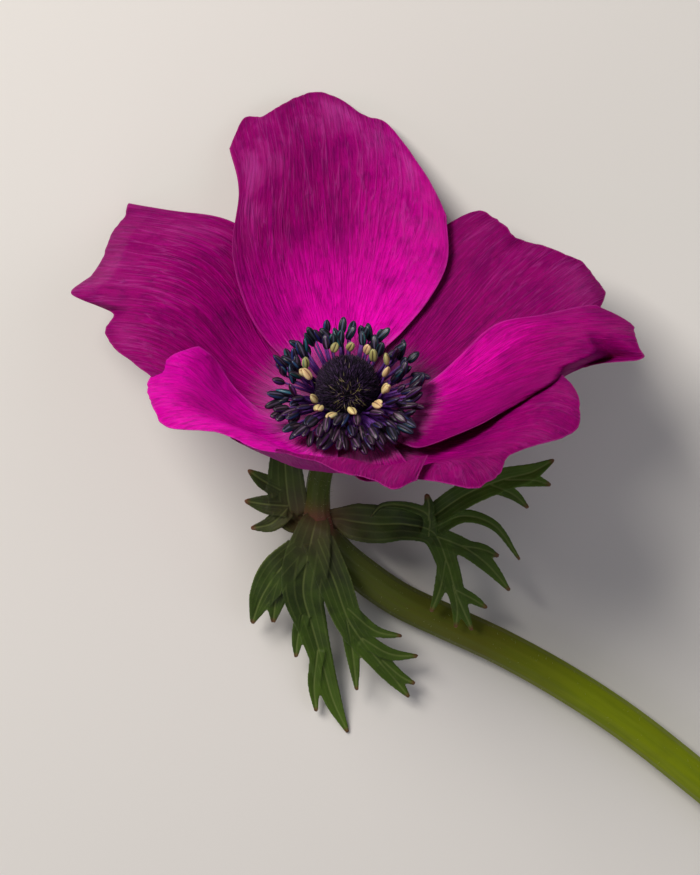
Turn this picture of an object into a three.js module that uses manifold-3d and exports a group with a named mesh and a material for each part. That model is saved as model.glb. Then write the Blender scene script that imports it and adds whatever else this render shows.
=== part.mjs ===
// Poppy anemone, one cut bloom lying on a surface. Millimetres, +Z up.
import * as THREE from 'three';
import { mergeVertices } from 'three/addons/utils/BufferGeometryUtils.js';
import Module from 'manifold-3d';

const wasm = await Module();
wasm.setup();

// Place and tilt of the bloom. The whole flower is set so that the origin is under its middle.
const FLOWER_AT = [-29.3, 25.6, 0];         // foot of the bloom on the surface, from the origin
const BLOOM_HEIGHT = 18.8;               // middle of the receptacle above the surface
const BLOOM_TILT = 45;                   // degrees the floral axis leans away from upright

// The bowl on which all petals lie, by azimuth round the floral axis:
// [azimuth, angle at the claw, angle of the wall, angle of the lip, distance to the lip]
const BOWL = [
  [5, 14, 36, -6, 33],
  [30, 14, 34, -4, 32],
  [60, 14, 34, 2, 34],
  [97, 14, 42, 2, 40],
  [135, 12, 44, -8, 30],
  [163, 10, 52, -12, 26],
  [190, 12, 50, -10, 27],
  [218, 12, 50, 2, 32],
  [243, 12, 56, 8, 32],
  [268, 12, 56, 6, 32],
  [290, 12, 50, 0, 33],
  [325, 12, 43, 0, 35],
];
const CLAW_RADIUS = 4.6;                 // where the petals leave the receptacle
const CLAW_HEIGHT = -2;                  // of the innermost petals, along the floral axis
const WALL_FROM = [4, 14];               // start and length of the bend from claw to wall
const LIP_LENGTH = 18;                   // length of the bend from wall to lip
const PROFILE_STEPS = 24;

// Petals
const PETAL_THICK = 0.65;
const LAYER_STEP = 1.2;                  // from one whorl of petals to the next, thickness included
const PETAL_ROWS = 11;                   // from claw to rim
const PETAL_COLUMNS = 14;                // across
const CUP_WHOLE_AT = 0.5;                // of a petal's length: from here on its edges stand in fully
const SPREAD_WHOLE_AT = 0.25;            // and here the whorls are fully apart
// middle: azimuth of the midrib. layer: 0 innermost. cw, ccw: half-widths from claw to rim on the
// clockwise and the counter-clockwise side. rim: length from claw to rim, from the clockwise edge
// to the counter-clockwise one. cup: how far the two edges stand in from the bowl.
const PETALS = [
  {
    name: 'petal_back', middle: 97, layer: 0, cup: [0.4, 0.4],
    cw: [2.4, 5.5, 11, 15.8, 18.6, 18.8], ccw: [2.4, 9, 14.4, 16, 13.9, 14],
    rim: [30.2, 37.1, 43.6, 44.5, 48.3, 49.8, 48.5, 46.4, 45.9, 47.2, 41.5],
  },
  {
    name: 'petal_left', middle: 161, layer: 1, cup: [0, 0],
    cw: [2.4, 7.5, 13.5, 17.5, 19.5, 21.2], ccw: [2.4, 6, 10.5, 14, 16.3, 17],
    rim: [47.7, 45.7, 45, 43.8, 42.9, 44.2, 36.2, 36.4, 35, 33.1, 29],
  },
  {
    name: 'petal_front_left', middle: 217, layer: 0, cup: [0, 0],
    cw: [1.4, 1.5, 4.5, 9.6, 14.4, 16.4], ccw: [2.4, 8, 13, 17, 19.5, 20],
    rim: [21, 26.4, 29.6, 31.6, 33.5, 35, 35.5, 33, 33, 33.6, 31],
  },
  {
    name: 'petal_front', middle: 262, layer: 1, cup: [0, 0],
    cw: [2.4, 8, 13, 16.5, 18, 17], ccw: [4, 9.1, 11.2, 12, 12.8, 14],
    rim: [26, 29.5, 31, 32, 32.4, 33, 35.4, 36, 36.6, 38.4, 35.4],
  },
  {
    name: 'petal_front_right', middle: 315, layer: 2, cup: [0, 0],
    cw: [2.6, 9, 15, 18, 19, 17.5], ccw: [2.6, 8.5, 14, 17.5, 19, 18.5],
    rim: [31, 38.7, 38.7, 37.4, 34.6, 35.6, 37.5, 38.9, 36.8, 33.6, 28],
  },
  {
    name: 'petal_right', middle: -12, layer: 0, cup: [0.8, 0.4],
    cw: [2.4, 5.5, 9, 12, 12, 11.4], ccw: [2.4, 4.4, 9.4, 13.3, 12, 13.6],
    rim: [24, 28.8, 30.4, 33.6, 35, 36.9, 42.6, 41.9, 41.1, 40.4, 36.5],
  },
  {
    name: 'petal_back_right', middle: 38, layer: 1, cup: [0, 0],
    cw: [2.4, 8, 13.5, 17.5, 20, 19.5], ccw: [2.4, 7.5, 11.5, 14, 14.5, 13.5],
    rim: [36.7, 38.9, 39.1, 38.9, 36.7, 34.3, 33.7, 33.9, 34.2, 33.8, 27],
  },
];

// Stem, from the cut end to the top of the receptacle: [x, y, z, radius] from the foot of the bloom
const STEM = [
  [98.2, -97.2, 2.9, 2.9], [84.5, -84.9, 3, 2.9], [69.5, -71.6, 3, 2.9], [54.4, -58.9, 3, 2.85],
  [42.8, -49.9, 3, 2.85], [33.4, -43.7, 3, 2.85], [24.1, -38.6, 3, 2.8], [14.7, -34.2, 3.1, 2.8],
  [8, -31, 3.5, 2.75], [2.6, -27.3, 4.6, 2.7], [-1.8, -23.4, 6.2, 2.6], [-4.3, -19.4, 7.6, 2.35],
  [-4.5, -15.5, 8.7, 1.95], [-3.9, -11.2, 10.3, 1.85], [-2.2, -7.6, 12.1, 1.9],
  [-0.4, -5.2, 13.8, 2.1], [0, -3.96, 15.04, 3.4], [0, -3.25, 15.75, 4.2], [0, -1.84, 17.16, 4.3],
  [0, -0.71, 18.29, 4.2],
];
const STEM_SIDES = 12;
const RINGS_PER_STATION = 2;

// Stamens, floral frame. The seat on the receptacle's shoulder: [radius, height] round the axis.
const SEAT = [[0, -0.65], [4.2, -0.65], [4.8, -0.1], [5, 0.5], [4.6, 1], [0, 1]];
const SEAT_SIDES = 16;
const FOOT = [4.4, 0.4];                 // radius and height of the filaments' roots, in the seat
// Rings of stamens: [count, radius of the filaments' tips, their height, length of an anther]
const STAMEN_RINGS = [
  [12, 6.2, 3.7, 1.9],
  [14, 7.5, 3.5, 2.2],
  [17, 8.9, 3.1, 2.4],
  [21, 10.4, 2.8, 2.5],
];
const STAMEN_SCATTER = 0.4;              // of a filament's tip from its place in the ring
const BACK_RISE = 1.6;                   // how much higher the stamens at the back stand
const FRONT_DROP = 1;                  // how much lower those at the front lie
const FRONT_REACH = 0.14;                // and how much further out, of their radius
const ANTHER_WIDTH = 1.25;
const ANTHER_DEPTH = 1;
const ANTHER_PAST_TIP = 0.3;             // of its length, from the filament's tip to its middle
const ANTHER_LEAN = [1, 1, 0.8];         // random lean along each axis
const FILAMENT_BEND = [0.64, 0.5];       // where it bends, of its way out and of its way up
const FILAMENT_RADIUS = [0.3, 0.26, 0.2];
const FILAMENT_SIDES = 3;
const ANTHER_SIDES = 5;
const ANTHER_RINGS = 3;

// Dome of pistils, floral frame
const DOME_BASE = 1.3;                   // height of its flat underside
const DOME_CENTRE = 2.2;
const DOME_RADIUS = 4.45;
const STYLE_RELIEF = 0.3;                // the tips of the styles stand out by this much
const DOME_ROWS = 9;
const CROWN = 0.6;                       // of a row, from the last ring to the very top
const DOME_COLUMNS = 26;

// Bracts. Each is its lobes grown together: [x, y, z, half-width] along the middle of a lobe.
const BRACT_THICK = 0.62;
const BRACT_FOLD = 0.22;                 // rise of a lobe's edge for each mm of half-width
const BRACTS = [
  {
    name: 'bract_low',
    lobes: [
      [[-5, -19.8, 10.7, 2.6], [-6.1, -24.7, 9.8, 3.6], [-6.7, -29.6, 8.2, 3.2], [-5.4, -34.8, 6.2, 2.4],
        [-3.9, -40.4, 4, 1.8], [-2.2, -46.7, 1.8, 1.4], [0.1, -51.9, 0.6, 0.3]],
      [[-7.2, -22.9, 9.9, 2.2], [-10.6, -26.6, 8.4, 2.8], [-13.1, -30.5, 6, 2], [-14.7, -34.8, 3.6, 0.35]],
      [[-9.6, -27, 8.4, 1.6], [-10.9, -31, 6.2, 1.5], [-11.4, -34.6, 4.6, 0.35]],
      [[-6.8, -33.2, 7, 1.3], [-7.6, -36.9, 5.4, 1], [-7.9, -40, 4.4, 0.3]],
      [[-4.5, -38.8, 4.8, 1.2], [-5.1, -44.3, 2.9, 1], [-4.8, -48.6, 1.6, 0.3]],
      [[-4.4, -21.6, 10.5, 2.4], [-2, -27.8, 9.4, 2.6], [0.4, -34.3, 7.6, 2.2], [3.5, -38.7, 6, 1.7],
        [6.9, -42.8, 4.2, 1.3], [9.6, -46.2, 3, 0.3]],
      [[2.3, -36.8, 6.8, 1.2], [6.6, -39.3, 5.6, 1], [10.9, -39.7, 4.8, 0.3]],
      [[5.4, -40.3, 5.2, 1.1], [8.2, -42.8, 4.2, 0.8], [10.5, -44.1, 3.6, 0.3]],
      [[-0.2, -32.7, 8, 1.3], [0.9, -39.4, 6, 1.1], [1.5, -45.1, 4.2, 0.3]],
      [[0, -32.1, 8.1, 1.2], [4.4, -35.7, 7, 0.9], [8.4, -36.5, 6.4, 0.3]],
    ],
  },
  {
    name: 'bract_right',
    lobes: [
      [[-1.2, -18.4, 8.8, 1.8], [1, -18.8, 9.8, 2.8], [4.7, -19.2, 10.6, 3], [8.9, -19.2, 11.4, 2.5],
        [13, -20.4, 11.2, 2.1], [15.2, -25, 10.2, 1.7], [16.6, -29.6, 9.2, 1.4], [19.1, -35.5, 8.2, 0.3]],
      [[15, -24.7, 10.3, 1.3], [14.2, -29, 9.2, 1], [12.8, -32.7, 8.4, 0.3]],
      [[16.1, -28.5, 9.5, 1.1], [16.8, -32.1, 8.7, 0.9], [16.6, -35.1, 8.2, 0.3]],
      [[16.6, -29.3, 9.3, 1], [19.4, -30.8, 8.8, 0.8], [21.4, -32.1, 8.4, 0.3]],
      [[13.5, -21, 11.1, 1.6], [17.9, -22.8, 10.6, 1.4], [21.4, -25.4, 10, 1.2], [24.8, -29.4, 9.2, 0.3]],
      [[17.5, -22.5, 10.7, 1], [20.8, -23.1, 10.3, 0.9], [23.1, -24.1, 10, 0.3]],
      [[12.9, -19.8, 11.3, 1.6], [17.6, -17.9, 12.2, 1.3], [22.2, -19.3, 12.2, 0.9],
        [26.2, -24.6, 11.4, 0.3]],
      [[12.3, -18.5, 11.4, 1.8], [18, -14.6, 13, 2], [23.4, -12.4, 13.6, 1.8], [27.9, -11.2, 13.8, 1.3],
        [31.2, -9.4, 13.8, 0.3]],
      [[23.8, -12.4, 13.6, 1.3], [28.2, -12.5, 13.4, 1], [30.8, -13.2, 13.2, 0.3]],
      [[21.6, -13.1, 13.5, 1.2], [25.2, -14.7, 13, 0.9], [27.4, -16.7, 12.6, 0.3]],
      [[12.1, -20.6, 11.3, 1.5], [12.1, -17.7, 12.3, 1.3], [8.8, -16.2, 13, 1.1], [4.4, -16.8, 13.2, 0.3]],
    ],
  },
  {
    name: 'bract_back',
    lobes: [
      [[-8.7, -18.6, 7.6, 1.5], [-9.4, -16.5, 8.6, 2.5], [-10.5, -13.4, 10, 2.4], [-11.4, -9.8, 11.4, 1.7],
        [-11.7, -6.1, 12.6, 0.4]],
      [[-9, -16.5, 8.8, 1.7], [-12.4, -16.2, 9.2, 1.5], [-15.6, -15.7, 9.4, 0.3]],
      [[-9.1, -16.9, 8.5, 1.6], [-11.6, -19.2, 8.4, 1.3], [-14.7, -19.9, 8.2, 0.3]],
      [[-10.2, -14, 9.8, 1.5], [-12.9, -12.5, 10.4, 1.2], [-15, -11, 10.8, 0.3]],
    ],
  },
];

const SEED = 7;
const JOIN_TOLERANCE = 0.02;             // edges shorter than this go where bodies grow together

const radians = THREE.MathUtils.degToRad;

function smooth(t) {
  const x = Math.min(Math.max(t, 0), 1);
  return x * x * (3 - 2 * x);
}

// Value at t, from 0 to 1, of a smooth curve through evenly spaced values
function through(values, t) {
  const last = values.length - 1;
  const place = Math.min(Math.max(t, 0), 1) * last;
  const i = Math.min(Math.floor(place), last - 1);
  const f = place - i;
  const p1 = values[i];
  const p2 = values[i + 1];
  const p0 = i > 0 ? values[i - 1] : 2 * p1 - p2;
  const p3 = i < last - 1 ? values[i + 2] : 2 * p2 - p1;
  return p1 + 0.5 * f * (p2 - p0 + f * (2 * p0 - 5 * p1 + 4 * p2 - p3 + f * (3 * (p1 - p2) + p3 - p0)));
}

// Angles of the bowl's profile at one azimuth
function bowlAngles(azimuth) {
  const turn = (a) => ((a % 360) + 360) % 360;
  for (let i = 0; i < BOWL.length; i += 1) {
    const here = BOWL[i];
    const next = BOWL[(i + 1) % BOWL.length];
    const span = turn(next[0] - here[0]);
    const into = turn(azimuth - here[0]);
    if (into < span) {
      const t = smooth(into / span);
      return here.slice(1).map((value, k) => value + (next[k + 1] - value) * t);
    }
  }
  return BOWL[0].slice(1);
}

// Radius and height of the bowl at a distance from the claw, and the angle of its profile there
function bowlProfile(azimuth, distance) {
  const [claw, wall, lip, lipAt] = bowlAngles(azimuth);
  const angleAt = (s) => radians(claw
    + (wall - claw) * smooth((s - WALL_FROM[0]) / WALL_FROM[1])
    + (lip - wall) * smooth((s - lipAt + LIP_LENGTH / 2) / LIP_LENGTH));
  const step = distance / PROFILE_STEPS;
  let radius = CLAW_RADIUS;
  let height = CLAW_HEIGHT;
  for (let i = 0; i < PROFILE_STEPS; i += 1) {
    const angle = angleAt((i + 0.5) * step);
    radius += Math.cos(angle) * step;
    height += Math.sin(angle) * step;
  }
  return { radius, height, angle: angleAt(distance) };
}

// Middle surface of a petal at u from claw to rim and v from -1 to 1 across, floral frame
function petalPoint(petal, u, v) {
  const distance = u * through(petal.rim, (v + 1) / 2);
  const across = v * through(v < 0 ? petal.cw : petal.ccw, u);
  const middle = bowlProfile(petal.middle, distance);
  const azimuth = petal.middle + THREE.MathUtils.radToDeg(across / middle.radius);
  const { radius, height, angle } = bowlProfile(azimuth, distance);
  const lift = petal.cup[v < 0 ? 0 : 1] * v * v * smooth(u / CUP_WHOLE_AT) - petal.layer * LAYER_STEP;
  const reach = radius - lift * Math.sin(angle) * smooth(u / SPREAD_WHOLE_AT);
  return new THREE.Vector3(
    reach * Math.cos(radians(azimuth)),
    reach * Math.sin(radians(azimuth)),
    height + lift * Math.cos(angle),
  );
}

// Closed body from a grid of points: both faces split alike, and a rim all round
function sheetGeometry(rows, columns, pointAt, thick) {
  const h = 1e-3;
  const sides = [[], []];
  for (let i = 0; i <= rows; i += 1) {
    for (let j = 0; j <= columns; j += 1) {
      const u = i / rows;
      const v = (2 * j) / columns - 1;
      const p = pointAt(u, v);
      const alongU = pointAt(u + (i < rows ? h : -h), v).sub(p).multiplyScalar(i < rows ? 1 : -1);
      const alongV = pointAt(u, v + (j < columns ? h : -h)).sub(p).multiplyScalar(j < columns ? 1 : -1);
      const normal = alongU.cross(alongV).normalize();
      sides[0].push(p.clone().addScaledVector(normal, thick / 2));
      sides[1].push(p.clone().addScaledVector(normal, -thick / 2));
    }
  }
  const offset = sides[0].length;
  const at = (i, j) => i * (columns + 1) + j;
  const faces = [];
  const quad = (a, b, c, d) => faces.push([a, b, c], [a, c, d]);
  for (let i = 0; i < rows; i += 1) {
    for (let j = 0; j < columns; j += 1) {
      quad(at(i, j), at(i + 1, j), at(i + 1, j + 1), at(i, j + 1));
      const [a, b, c, d] = [at(i, j), at(i + 1, j), at(i + 1, j + 1), at(i, j + 1)].map((k) => k + offset);
      faces.push([c, b, a], [d, c, a]);
    }
  }
  const border = [];
  for (let j = 0; j < columns; j += 1) border.push(at(0, j));
  for (let i = 0; i < rows; i += 1) border.push(at(i, columns));
  for (let j = columns; j > 0; j -= 1) border.push(at(rows, j));
  for (let i = rows; i > 0; i -= 1) border.push(at(i, 0));
  border.forEach((a, k) => {
    const b = border[(k + 1) % border.length];
    quad(a, b, b + offset, a + offset);
  });
  const geometry = new THREE.BufferGeometry();
  const points = [...sides[0], ...sides[1]].flatMap((p) => [p.x, p.y, p.z]);
  geometry.setAttribute('position', new THREE.Float32BufferAttribute(points, 3));
  geometry.setIndex(faces.flat());
  return geometry;
}

// Closed body from rings of points, each ring ordered the same way, its ends filled as fans.
// studded: every second point stands out, and the faces between are split to suit.
function tubeGeometry(rings, studded = false) {
  const size = rings[0].length;
  const faces = [];
  for (let i = 0; i + 1 < rings.length; i += 1) {
    for (let j = 0; j < size; j += 1) {
      const a = i * size + j;
      const b = i * size + ((j + 1) % size);
      if (studded && (i + j) % 2 === 0) {
        faces.push([a, b, a + size], [b, b + size, a + size]);
      } else {
        faces.push([a, b, b + size], [a, b + size, a + size]);
      }
    }
  }
  const end = (rings.length - 1) * size;
  for (let j = 1; j + 1 < size; j += 1) {
    faces.push([0, j + 1, j], [end, end + j, end + j + 1]);
  }
  const geometry = new THREE.BufferGeometry();
  const points = rings.flat().flatMap((p) => [p.x, p.y, p.z]);
  geometry.setAttribute('position', new THREE.Float32BufferAttribute(points, 3));
  geometry.setIndex(faces.flat());
  return geometry;
}

// Round stalk along a smooth curve through stations [x, y, z, radius]
function stalkGeometry(stations, sides, perSpan) {
  const curve = new THREE.CatmullRomCurve3(stations.map((p) => new THREE.Vector3(p[0], p[1], p[2])));
  const radii = stations.map((p) => p[3]);
  const steps = (stations.length - 1) * perSpan;
  const side = new THREE.Vector3(0, 0, 1);
  const rings = [];
  for (let i = 0; i <= steps; i += 1) {
    const tangent = curve.getTangent(i / steps);
    const centre = curve.getPoint(i / steps);
    const radius = through(radii, i / steps);
    side.addScaledVector(tangent, -side.dot(tangent)).normalize();
    const up = new THREE.Vector3().crossVectors(side, tangent);
    rings.push(Array.from({ length: sides }, (_, j) => {
      const turn = (2 * Math.PI * j) / sides;
      return centre.clone().addScaledVector(side, -radius * Math.cos(turn))
        .addScaledVector(up, radius * Math.sin(turn));
    }));
  }
  return tubeGeometry(rings);
}

// Thin lobe of a leaf through stations [x, y, z, half-width], folded along its midrib
function lobeGeometry(stations) {
  const curve = new THREE.CatmullRomCurve3(stations.map((p) => new THREE.Vector3(p[0], p[1], p[2])));
  const sizes = stations.map((p) => p[3]);
  const steps = stations.length - 1;
  const rings = [];
  for (let i = 0; i <= steps; i += 1) {
    const tangent = curve.getTangent(i / steps);
    const centre = curve.getPoint(i / steps);
    const side = new THREE.Vector3().crossVectors(tangent, new THREE.Vector3(0, 0, 1)).normalize();
    const up = new THREE.Vector3().crossVectors(side, tangent);
    const width = through(sizes, i / steps);
    const corner = (across, height) => centre.clone().addScaledVector(side, across * width)
      .addScaledVector(up, height + Math.abs(across) * width * BRACT_FOLD);
    const under = -BRACT_THICK;
    const upper = [corner(1, 0), corner(0, 0), corner(-1, 0)];
    const lower = [corner(-1, under), corner(0, under), corner(1, under)];
    rings.push([...upper, ...lower]);
  }
  return tubeGeometry(rings);
}

// Geometry with its shared corners merged and its faces pointing out
function closed(geometry) {
  geometry.deleteAttribute('normal');
  geometry.deleteAttribute('uv');
  const merged = mergeVertices(geometry, 1e-4);
  const index = Array.from(merged.index.array);
  const corners = [0, 1, 2].map(() => new THREE.Vector3());
  const kept = [];
  let volume = 0;
  for (let i = 0; i < index.length; i += 3) {
    const face = index.slice(i, i + 3);
    if (new Set(face).size === 3) {
      face.forEach((k, n) => corners[n].fromBufferAttribute(merged.attributes.position, k));
      volume += corners[0].dot(corners[1].clone().cross(corners[2]));
      kept.push(face);
    }
  }
  merged.setIndex((volume < 0 ? kept.map((face) => face.reverse()) : kept).flat());
  return merged;
}

// One body from overlapping closed geometries
function joined(geometries) {
  const solids = geometries.map((geometry) => {
    const shell = closed(geometry);
    return new wasm.Manifold(new wasm.Mesh({
      numProp: 3,
      vertProperties: new Float32Array(shell.attributes.position.array),
      triVerts: new Uint32Array(shell.index.array),
    }));
  });
  const body = wasm.Manifold.union(solids).simplify(JOIN_TOLERANCE);
  const { vertProperties, triVerts } = body.getMesh();
  const geometry = new THREE.BufferGeometry();
  geometry.setAttribute('position', new THREE.Float32BufferAttribute(vertProperties, 3));
  geometry.setIndex(Array.from(triVerts));
  return geometry;
}

// Numbers from 0 to 1 that look random and are the same each time
function seededRandom(seed) {
  let state = seed;
  return () => {
    state = (state * 1664525 + 1013904223) % 4294967296;
    return state / 4294967296;
  };
}

// One stamen: a bent filament rooted in the seat, and the anther at its tip
function stamenGeometries(azimuth, radius, height, length, random) {
  const at = (r, h) => [r * Math.cos(azimuth), r * Math.sin(azimuth), h];
  const foot = at(...FOOT);
  const bend = at(
    FOOT[0] + FILAMENT_BEND[0] * (radius - FOOT[0]),
    FOOT[1] + FILAMENT_BEND[1] * (height - FOOT[1]),
  );
  const tip = at(radius, height);
  const stations = [foot, bend, tip].map((p, i) => [...p, FILAMENT_RADIUS[i]]);
  const filament = stalkGeometry(stations, FILAMENT_SIDES, 1);
  const along = new THREE.Vector3(...tip).sub(new THREE.Vector3(...bend)).normalize();
  const lean = [random() - 0.5, random() - 0.5, random()].map((value, k) => value * ANTHER_LEAN[k]);
  along.add(new THREE.Vector3(...lean)).normalize();
  const anther = new THREE.SphereGeometry(1, ANTHER_SIDES, ANTHER_RINGS);
  anther.scale(ANTHER_WIDTH / 2, length / 2, ANTHER_DEPTH / 2);
  const turn = new THREE.Quaternion().setFromUnitVectors(new THREE.Vector3(0, 1, 0), along);
  anther.applyQuaternion(turn);
  anther.translate(...new THREE.Vector3(...tip).addScaledVector(along, length * ANTHER_PAST_TIP).toArray());
  return [filament, anther];
}

function stamensGeometry() {
  const random = seededRandom(SEED);
  const pieces = [new THREE.LatheGeometry(SEAT.map((p) => new THREE.Vector2(...p)), SEAT_SIDES)
    .rotateX(Math.PI / 2)];
  STAMEN_RINGS.forEach(([count, radius, height, length], ring) => {
    for (let i = 0; i < count; i += 1) {
      const azimuth = (2 * Math.PI * (i + 0.5 * (ring % 2) + STAMEN_SCATTER * (random() - 0.5))) / count;
      const back = Math.sin(azimuth);
      const reach = back < 0 ? 1 - FRONT_REACH * back : 1;
      const r = radius * reach + 2 * STAMEN_SCATTER * (random() - 0.5);
      const rise = (back > 0 ? BACK_RISE : FRONT_DROP) * back * (radius / 12);
      const h = height + rise + STAMEN_SCATTER * (random() - 0.3);
      pieces.push(...stamenGeometries(azimuth, r, h, length, random));
    }
  });
  return joined(pieces);
}

// Dome whose rows and columns stand out and in by turns, as the tips of the styles do
function domeGeometry() {
  const lowest = Math.asin((DOME_BASE - DOME_CENTRE) / DOME_RADIUS);
  const rings = [];
  for (let i = 0; i <= DOME_ROWS; i += 1) {
    const rise = lowest + ((Math.PI / 2 - lowest) * i) / (DOME_ROWS + CROWN);
    rings.push(Array.from({ length: DOME_COLUMNS }, (_, j) => {
      const relief = i === 0 ? 0 : STYLE_RELIEF * ((i + j) % 2 === 0 ? 1 : -1);
      const radius = DOME_RADIUS + relief;
      const turn = (2 * Math.PI * j) / DOME_COLUMNS;
      return new THREE.Vector3(
        radius * Math.cos(rise) * Math.cos(turn),
        radius * Math.cos(rise) * Math.sin(turn),
        DOME_CENTRE + radius * Math.sin(rise),
      );
    }));
  }
  return tubeGeometry(rings, true);
}

const petalSkin = new THREE.MeshStandardMaterial({ color: 0xb0107c, roughness: 0.6 });
const stemSkin = new THREE.MeshStandardMaterial({ color: 0x5e6b1e, roughness: 0.55 });
const leafSkin = new THREE.MeshStandardMaterial({ color: 0x3f5320, roughness: 0.6 });
const stamenSkin = new THREE.MeshStandardMaterial({ color: 0x23283c, roughness: 0.5 });
const pistilSkin = new THREE.MeshStandardMaterial({ color: 0x1a1226, roughness: 0.7 });

const anemone = new THREE.Group();
const flower = new THREE.Group();
flower.position.set(...FLOWER_AT);
anemone.add(flower);
const bloom = new THREE.Group();
bloom.position.z = BLOOM_HEIGHT;
bloom.rotation.x = -radians(BLOOM_TILT);
flower.add(bloom);

function place(group, name, geometry, material) {
  const mesh = new THREE.Mesh(closed(geometry), material);
  mesh.name = name;
  group.add(mesh);
}

place(flower, 'stem', stalkGeometry(STEM, STEM_SIDES, RINGS_PER_STATION), stemSkin);
for (const { name, lobes } of BRACTS) {
  place(flower, name, joined(lobes.map(lobeGeometry)), leafSkin);
}
for (const petal of PETALS) {
  const pointAt = (u, v) => petalPoint(petal, u, v);
  place(bloom, petal.name, sheetGeometry(PETAL_ROWS, PETAL_COLUMNS, pointAt, PETAL_THICK), petalSkin);
}
place(bloom, 'stamens', stamensGeometry(), stamenSkin);
place(bloom, 'pistils', domeGeometry(), pistilSkin);

export default anemone;
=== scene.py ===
"""A cut poppy anemone with one open magenta bloom, lying on a pale floor. Metres, +Z up."""
import logging
import math
from dataclasses import dataclass, field
from enum import Enum

import bmesh
import bpy
import numpy as np
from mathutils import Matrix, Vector


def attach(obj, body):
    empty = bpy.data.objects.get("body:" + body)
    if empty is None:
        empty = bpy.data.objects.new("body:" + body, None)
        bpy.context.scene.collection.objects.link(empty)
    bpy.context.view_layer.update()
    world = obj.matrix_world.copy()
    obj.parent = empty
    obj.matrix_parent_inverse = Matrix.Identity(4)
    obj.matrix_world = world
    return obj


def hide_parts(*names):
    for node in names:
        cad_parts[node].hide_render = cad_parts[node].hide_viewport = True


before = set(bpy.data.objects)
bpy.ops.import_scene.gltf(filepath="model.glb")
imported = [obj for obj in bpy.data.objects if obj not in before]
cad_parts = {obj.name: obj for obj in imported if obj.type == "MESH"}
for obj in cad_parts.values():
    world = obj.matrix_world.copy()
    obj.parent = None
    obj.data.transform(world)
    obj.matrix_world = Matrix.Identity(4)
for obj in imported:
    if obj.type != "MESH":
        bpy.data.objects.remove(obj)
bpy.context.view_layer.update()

LOG = logging.getLogger("anemone")
MM = 0.001
BODY = "root"
UP = np.array([0.0, 0.0, 1.0])

Tree = bpy.types.NodeTree
Socket = bpy.types.NodeSocket
Mesh = tuple[np.ndarray, list, dict]    # points in millimetres, faces, attributes


# Colours and nodes

def linear(colour: str) -> tuple[float, float, float, float]:
    """Turns an sRGB hex colour to linear.

    Args:
        colour: six hex digits after a hash sign.
    Returns:
        Linear red, green, blue and an alpha of 1.
    """
    parts = [int(colour[i:i + 2], 16) / 255 for i in (1, 3, 5)]
    curve = [c / 12.92 if c <= 0.04045 else ((c + 0.055) / 1.055) ** 2.4 for c in parts]
    return (*curve, 1.0)


def add_node(
    tree: Tree, kind: str, inputs: dict, stops: tuple[tuple[float, str], ...] = (), **settings: object,
) -> bpy.types.Node:
    """Adds a node with its settings and links.

    Args:
        tree: node tree that gets the node.
        kind: the node's type name.
        inputs: for each socket, by name or index, a value or the output that feeds it.
        stops: positions and hex colours of a colour ramp.
        settings: properties of the node.
    Returns:
        The new node.
    """
    node = tree.nodes.new(kind)
    for name, value in settings.items():
        setattr(node, name, value)
    for socket, value in inputs.items():
        if isinstance(value, Socket):
            tree.links.new(value, node.inputs[socket])
        else:
            node.inputs[socket].default_value = value
    for index, (position, colour) in enumerate(stops):
        elements = node.color_ramp.elements
        element = elements[index] if index < 2 else elements.new(position)
        element.position = position
        element.color = linear(colour)
    return node


def three_of(tree: Tree, name: str) -> list[Socket]:
    """Reads the three numbers that the mesh holds for each point under one name.

    Args:
        tree: node tree that reads them.
        name: the attribute's name.
    Returns:
        One output for each number.
    """
    vector = add_node(tree, "ShaderNodeAttribute", {}, attribute_name=name).outputs["Vector"]
    return list(add_node(tree, "ShaderNodeSeparateXYZ", {0: vector}).outputs)


def noise(
    tree: Tree, place: Socket, spot: tuple[float, float, float], detail: float = 3.0, waviness: float = 0.2,
) -> Socket:
    """Soft noise whose spots have a given size.

    Args:
        tree: node tree that gets the noise.
        place: coordinates that it lies in.
        spot: size of a spot along each of them, in their own unit.
        detail: how many finer octaves it has.
        waviness: how far its spots are bent.
    Returns:
        A value round 0.5.
    """
    scaled = add_node(tree, "ShaderNodeVectorMath", {
        0: place, 1: tuple(1 / size for size in spot),
    }, operation="MULTIPLY").outputs[0]
    return add_node(tree, "ShaderNodeTexNoise", {
        "Vector": scaled, "Scale": 1.0, "Detail": detail, "Roughness": 0.58, "Distortion": waviness,
    }).outputs[0]


def coats(tree: Tree, ground: Socket, layers: list[tuple]) -> Socket:
    """Lays coats of colour over a ground, one after the other.

    Args:
        tree: node tree that gets the coats.
        ground: colour below them all.
        layers: for each coat its hex colour and its fades, which are multiplied. A fade is a source,
            its reading where the fade starts and where it is whole, and, unless they are 0 and 1,
            how much of the ground is covered at each of the two.
    Returns:
        The finished colour.
    """
    colour = ground
    for paint, *fades in layers:
        # A fade's values stand in the order of the node's sockets.
        cover, *others = (
            add_node(tree, "ShaderNodeMapRange", dict(enumerate(fade))).outputs[0] for fade in fades
        )
        for share in others:
            cover = add_node(tree, "ShaderNodeMath", {0: cover, 1: share}, operation="MULTIPLY").outputs[0]
        inputs = {0: cover, 6: colour, 7: linear(paint)}
        colour = add_node(tree, "ShaderNodeMix", inputs, data_type="RGBA").outputs[2]
    return colour


# Meshes, curves and surfaces

def into_scene(name: str, data: bpy.types.ID) -> bpy.types.Object:
    """Adds an object to the scene.

    Args:
        name: the object's name.
        data: its mesh, lamp or camera.
    Returns:
        The new object.
    """
    item = bpy.data.objects.new(name, data)
    bpy.context.scene.collection.objects.link(item)
    return item


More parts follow.
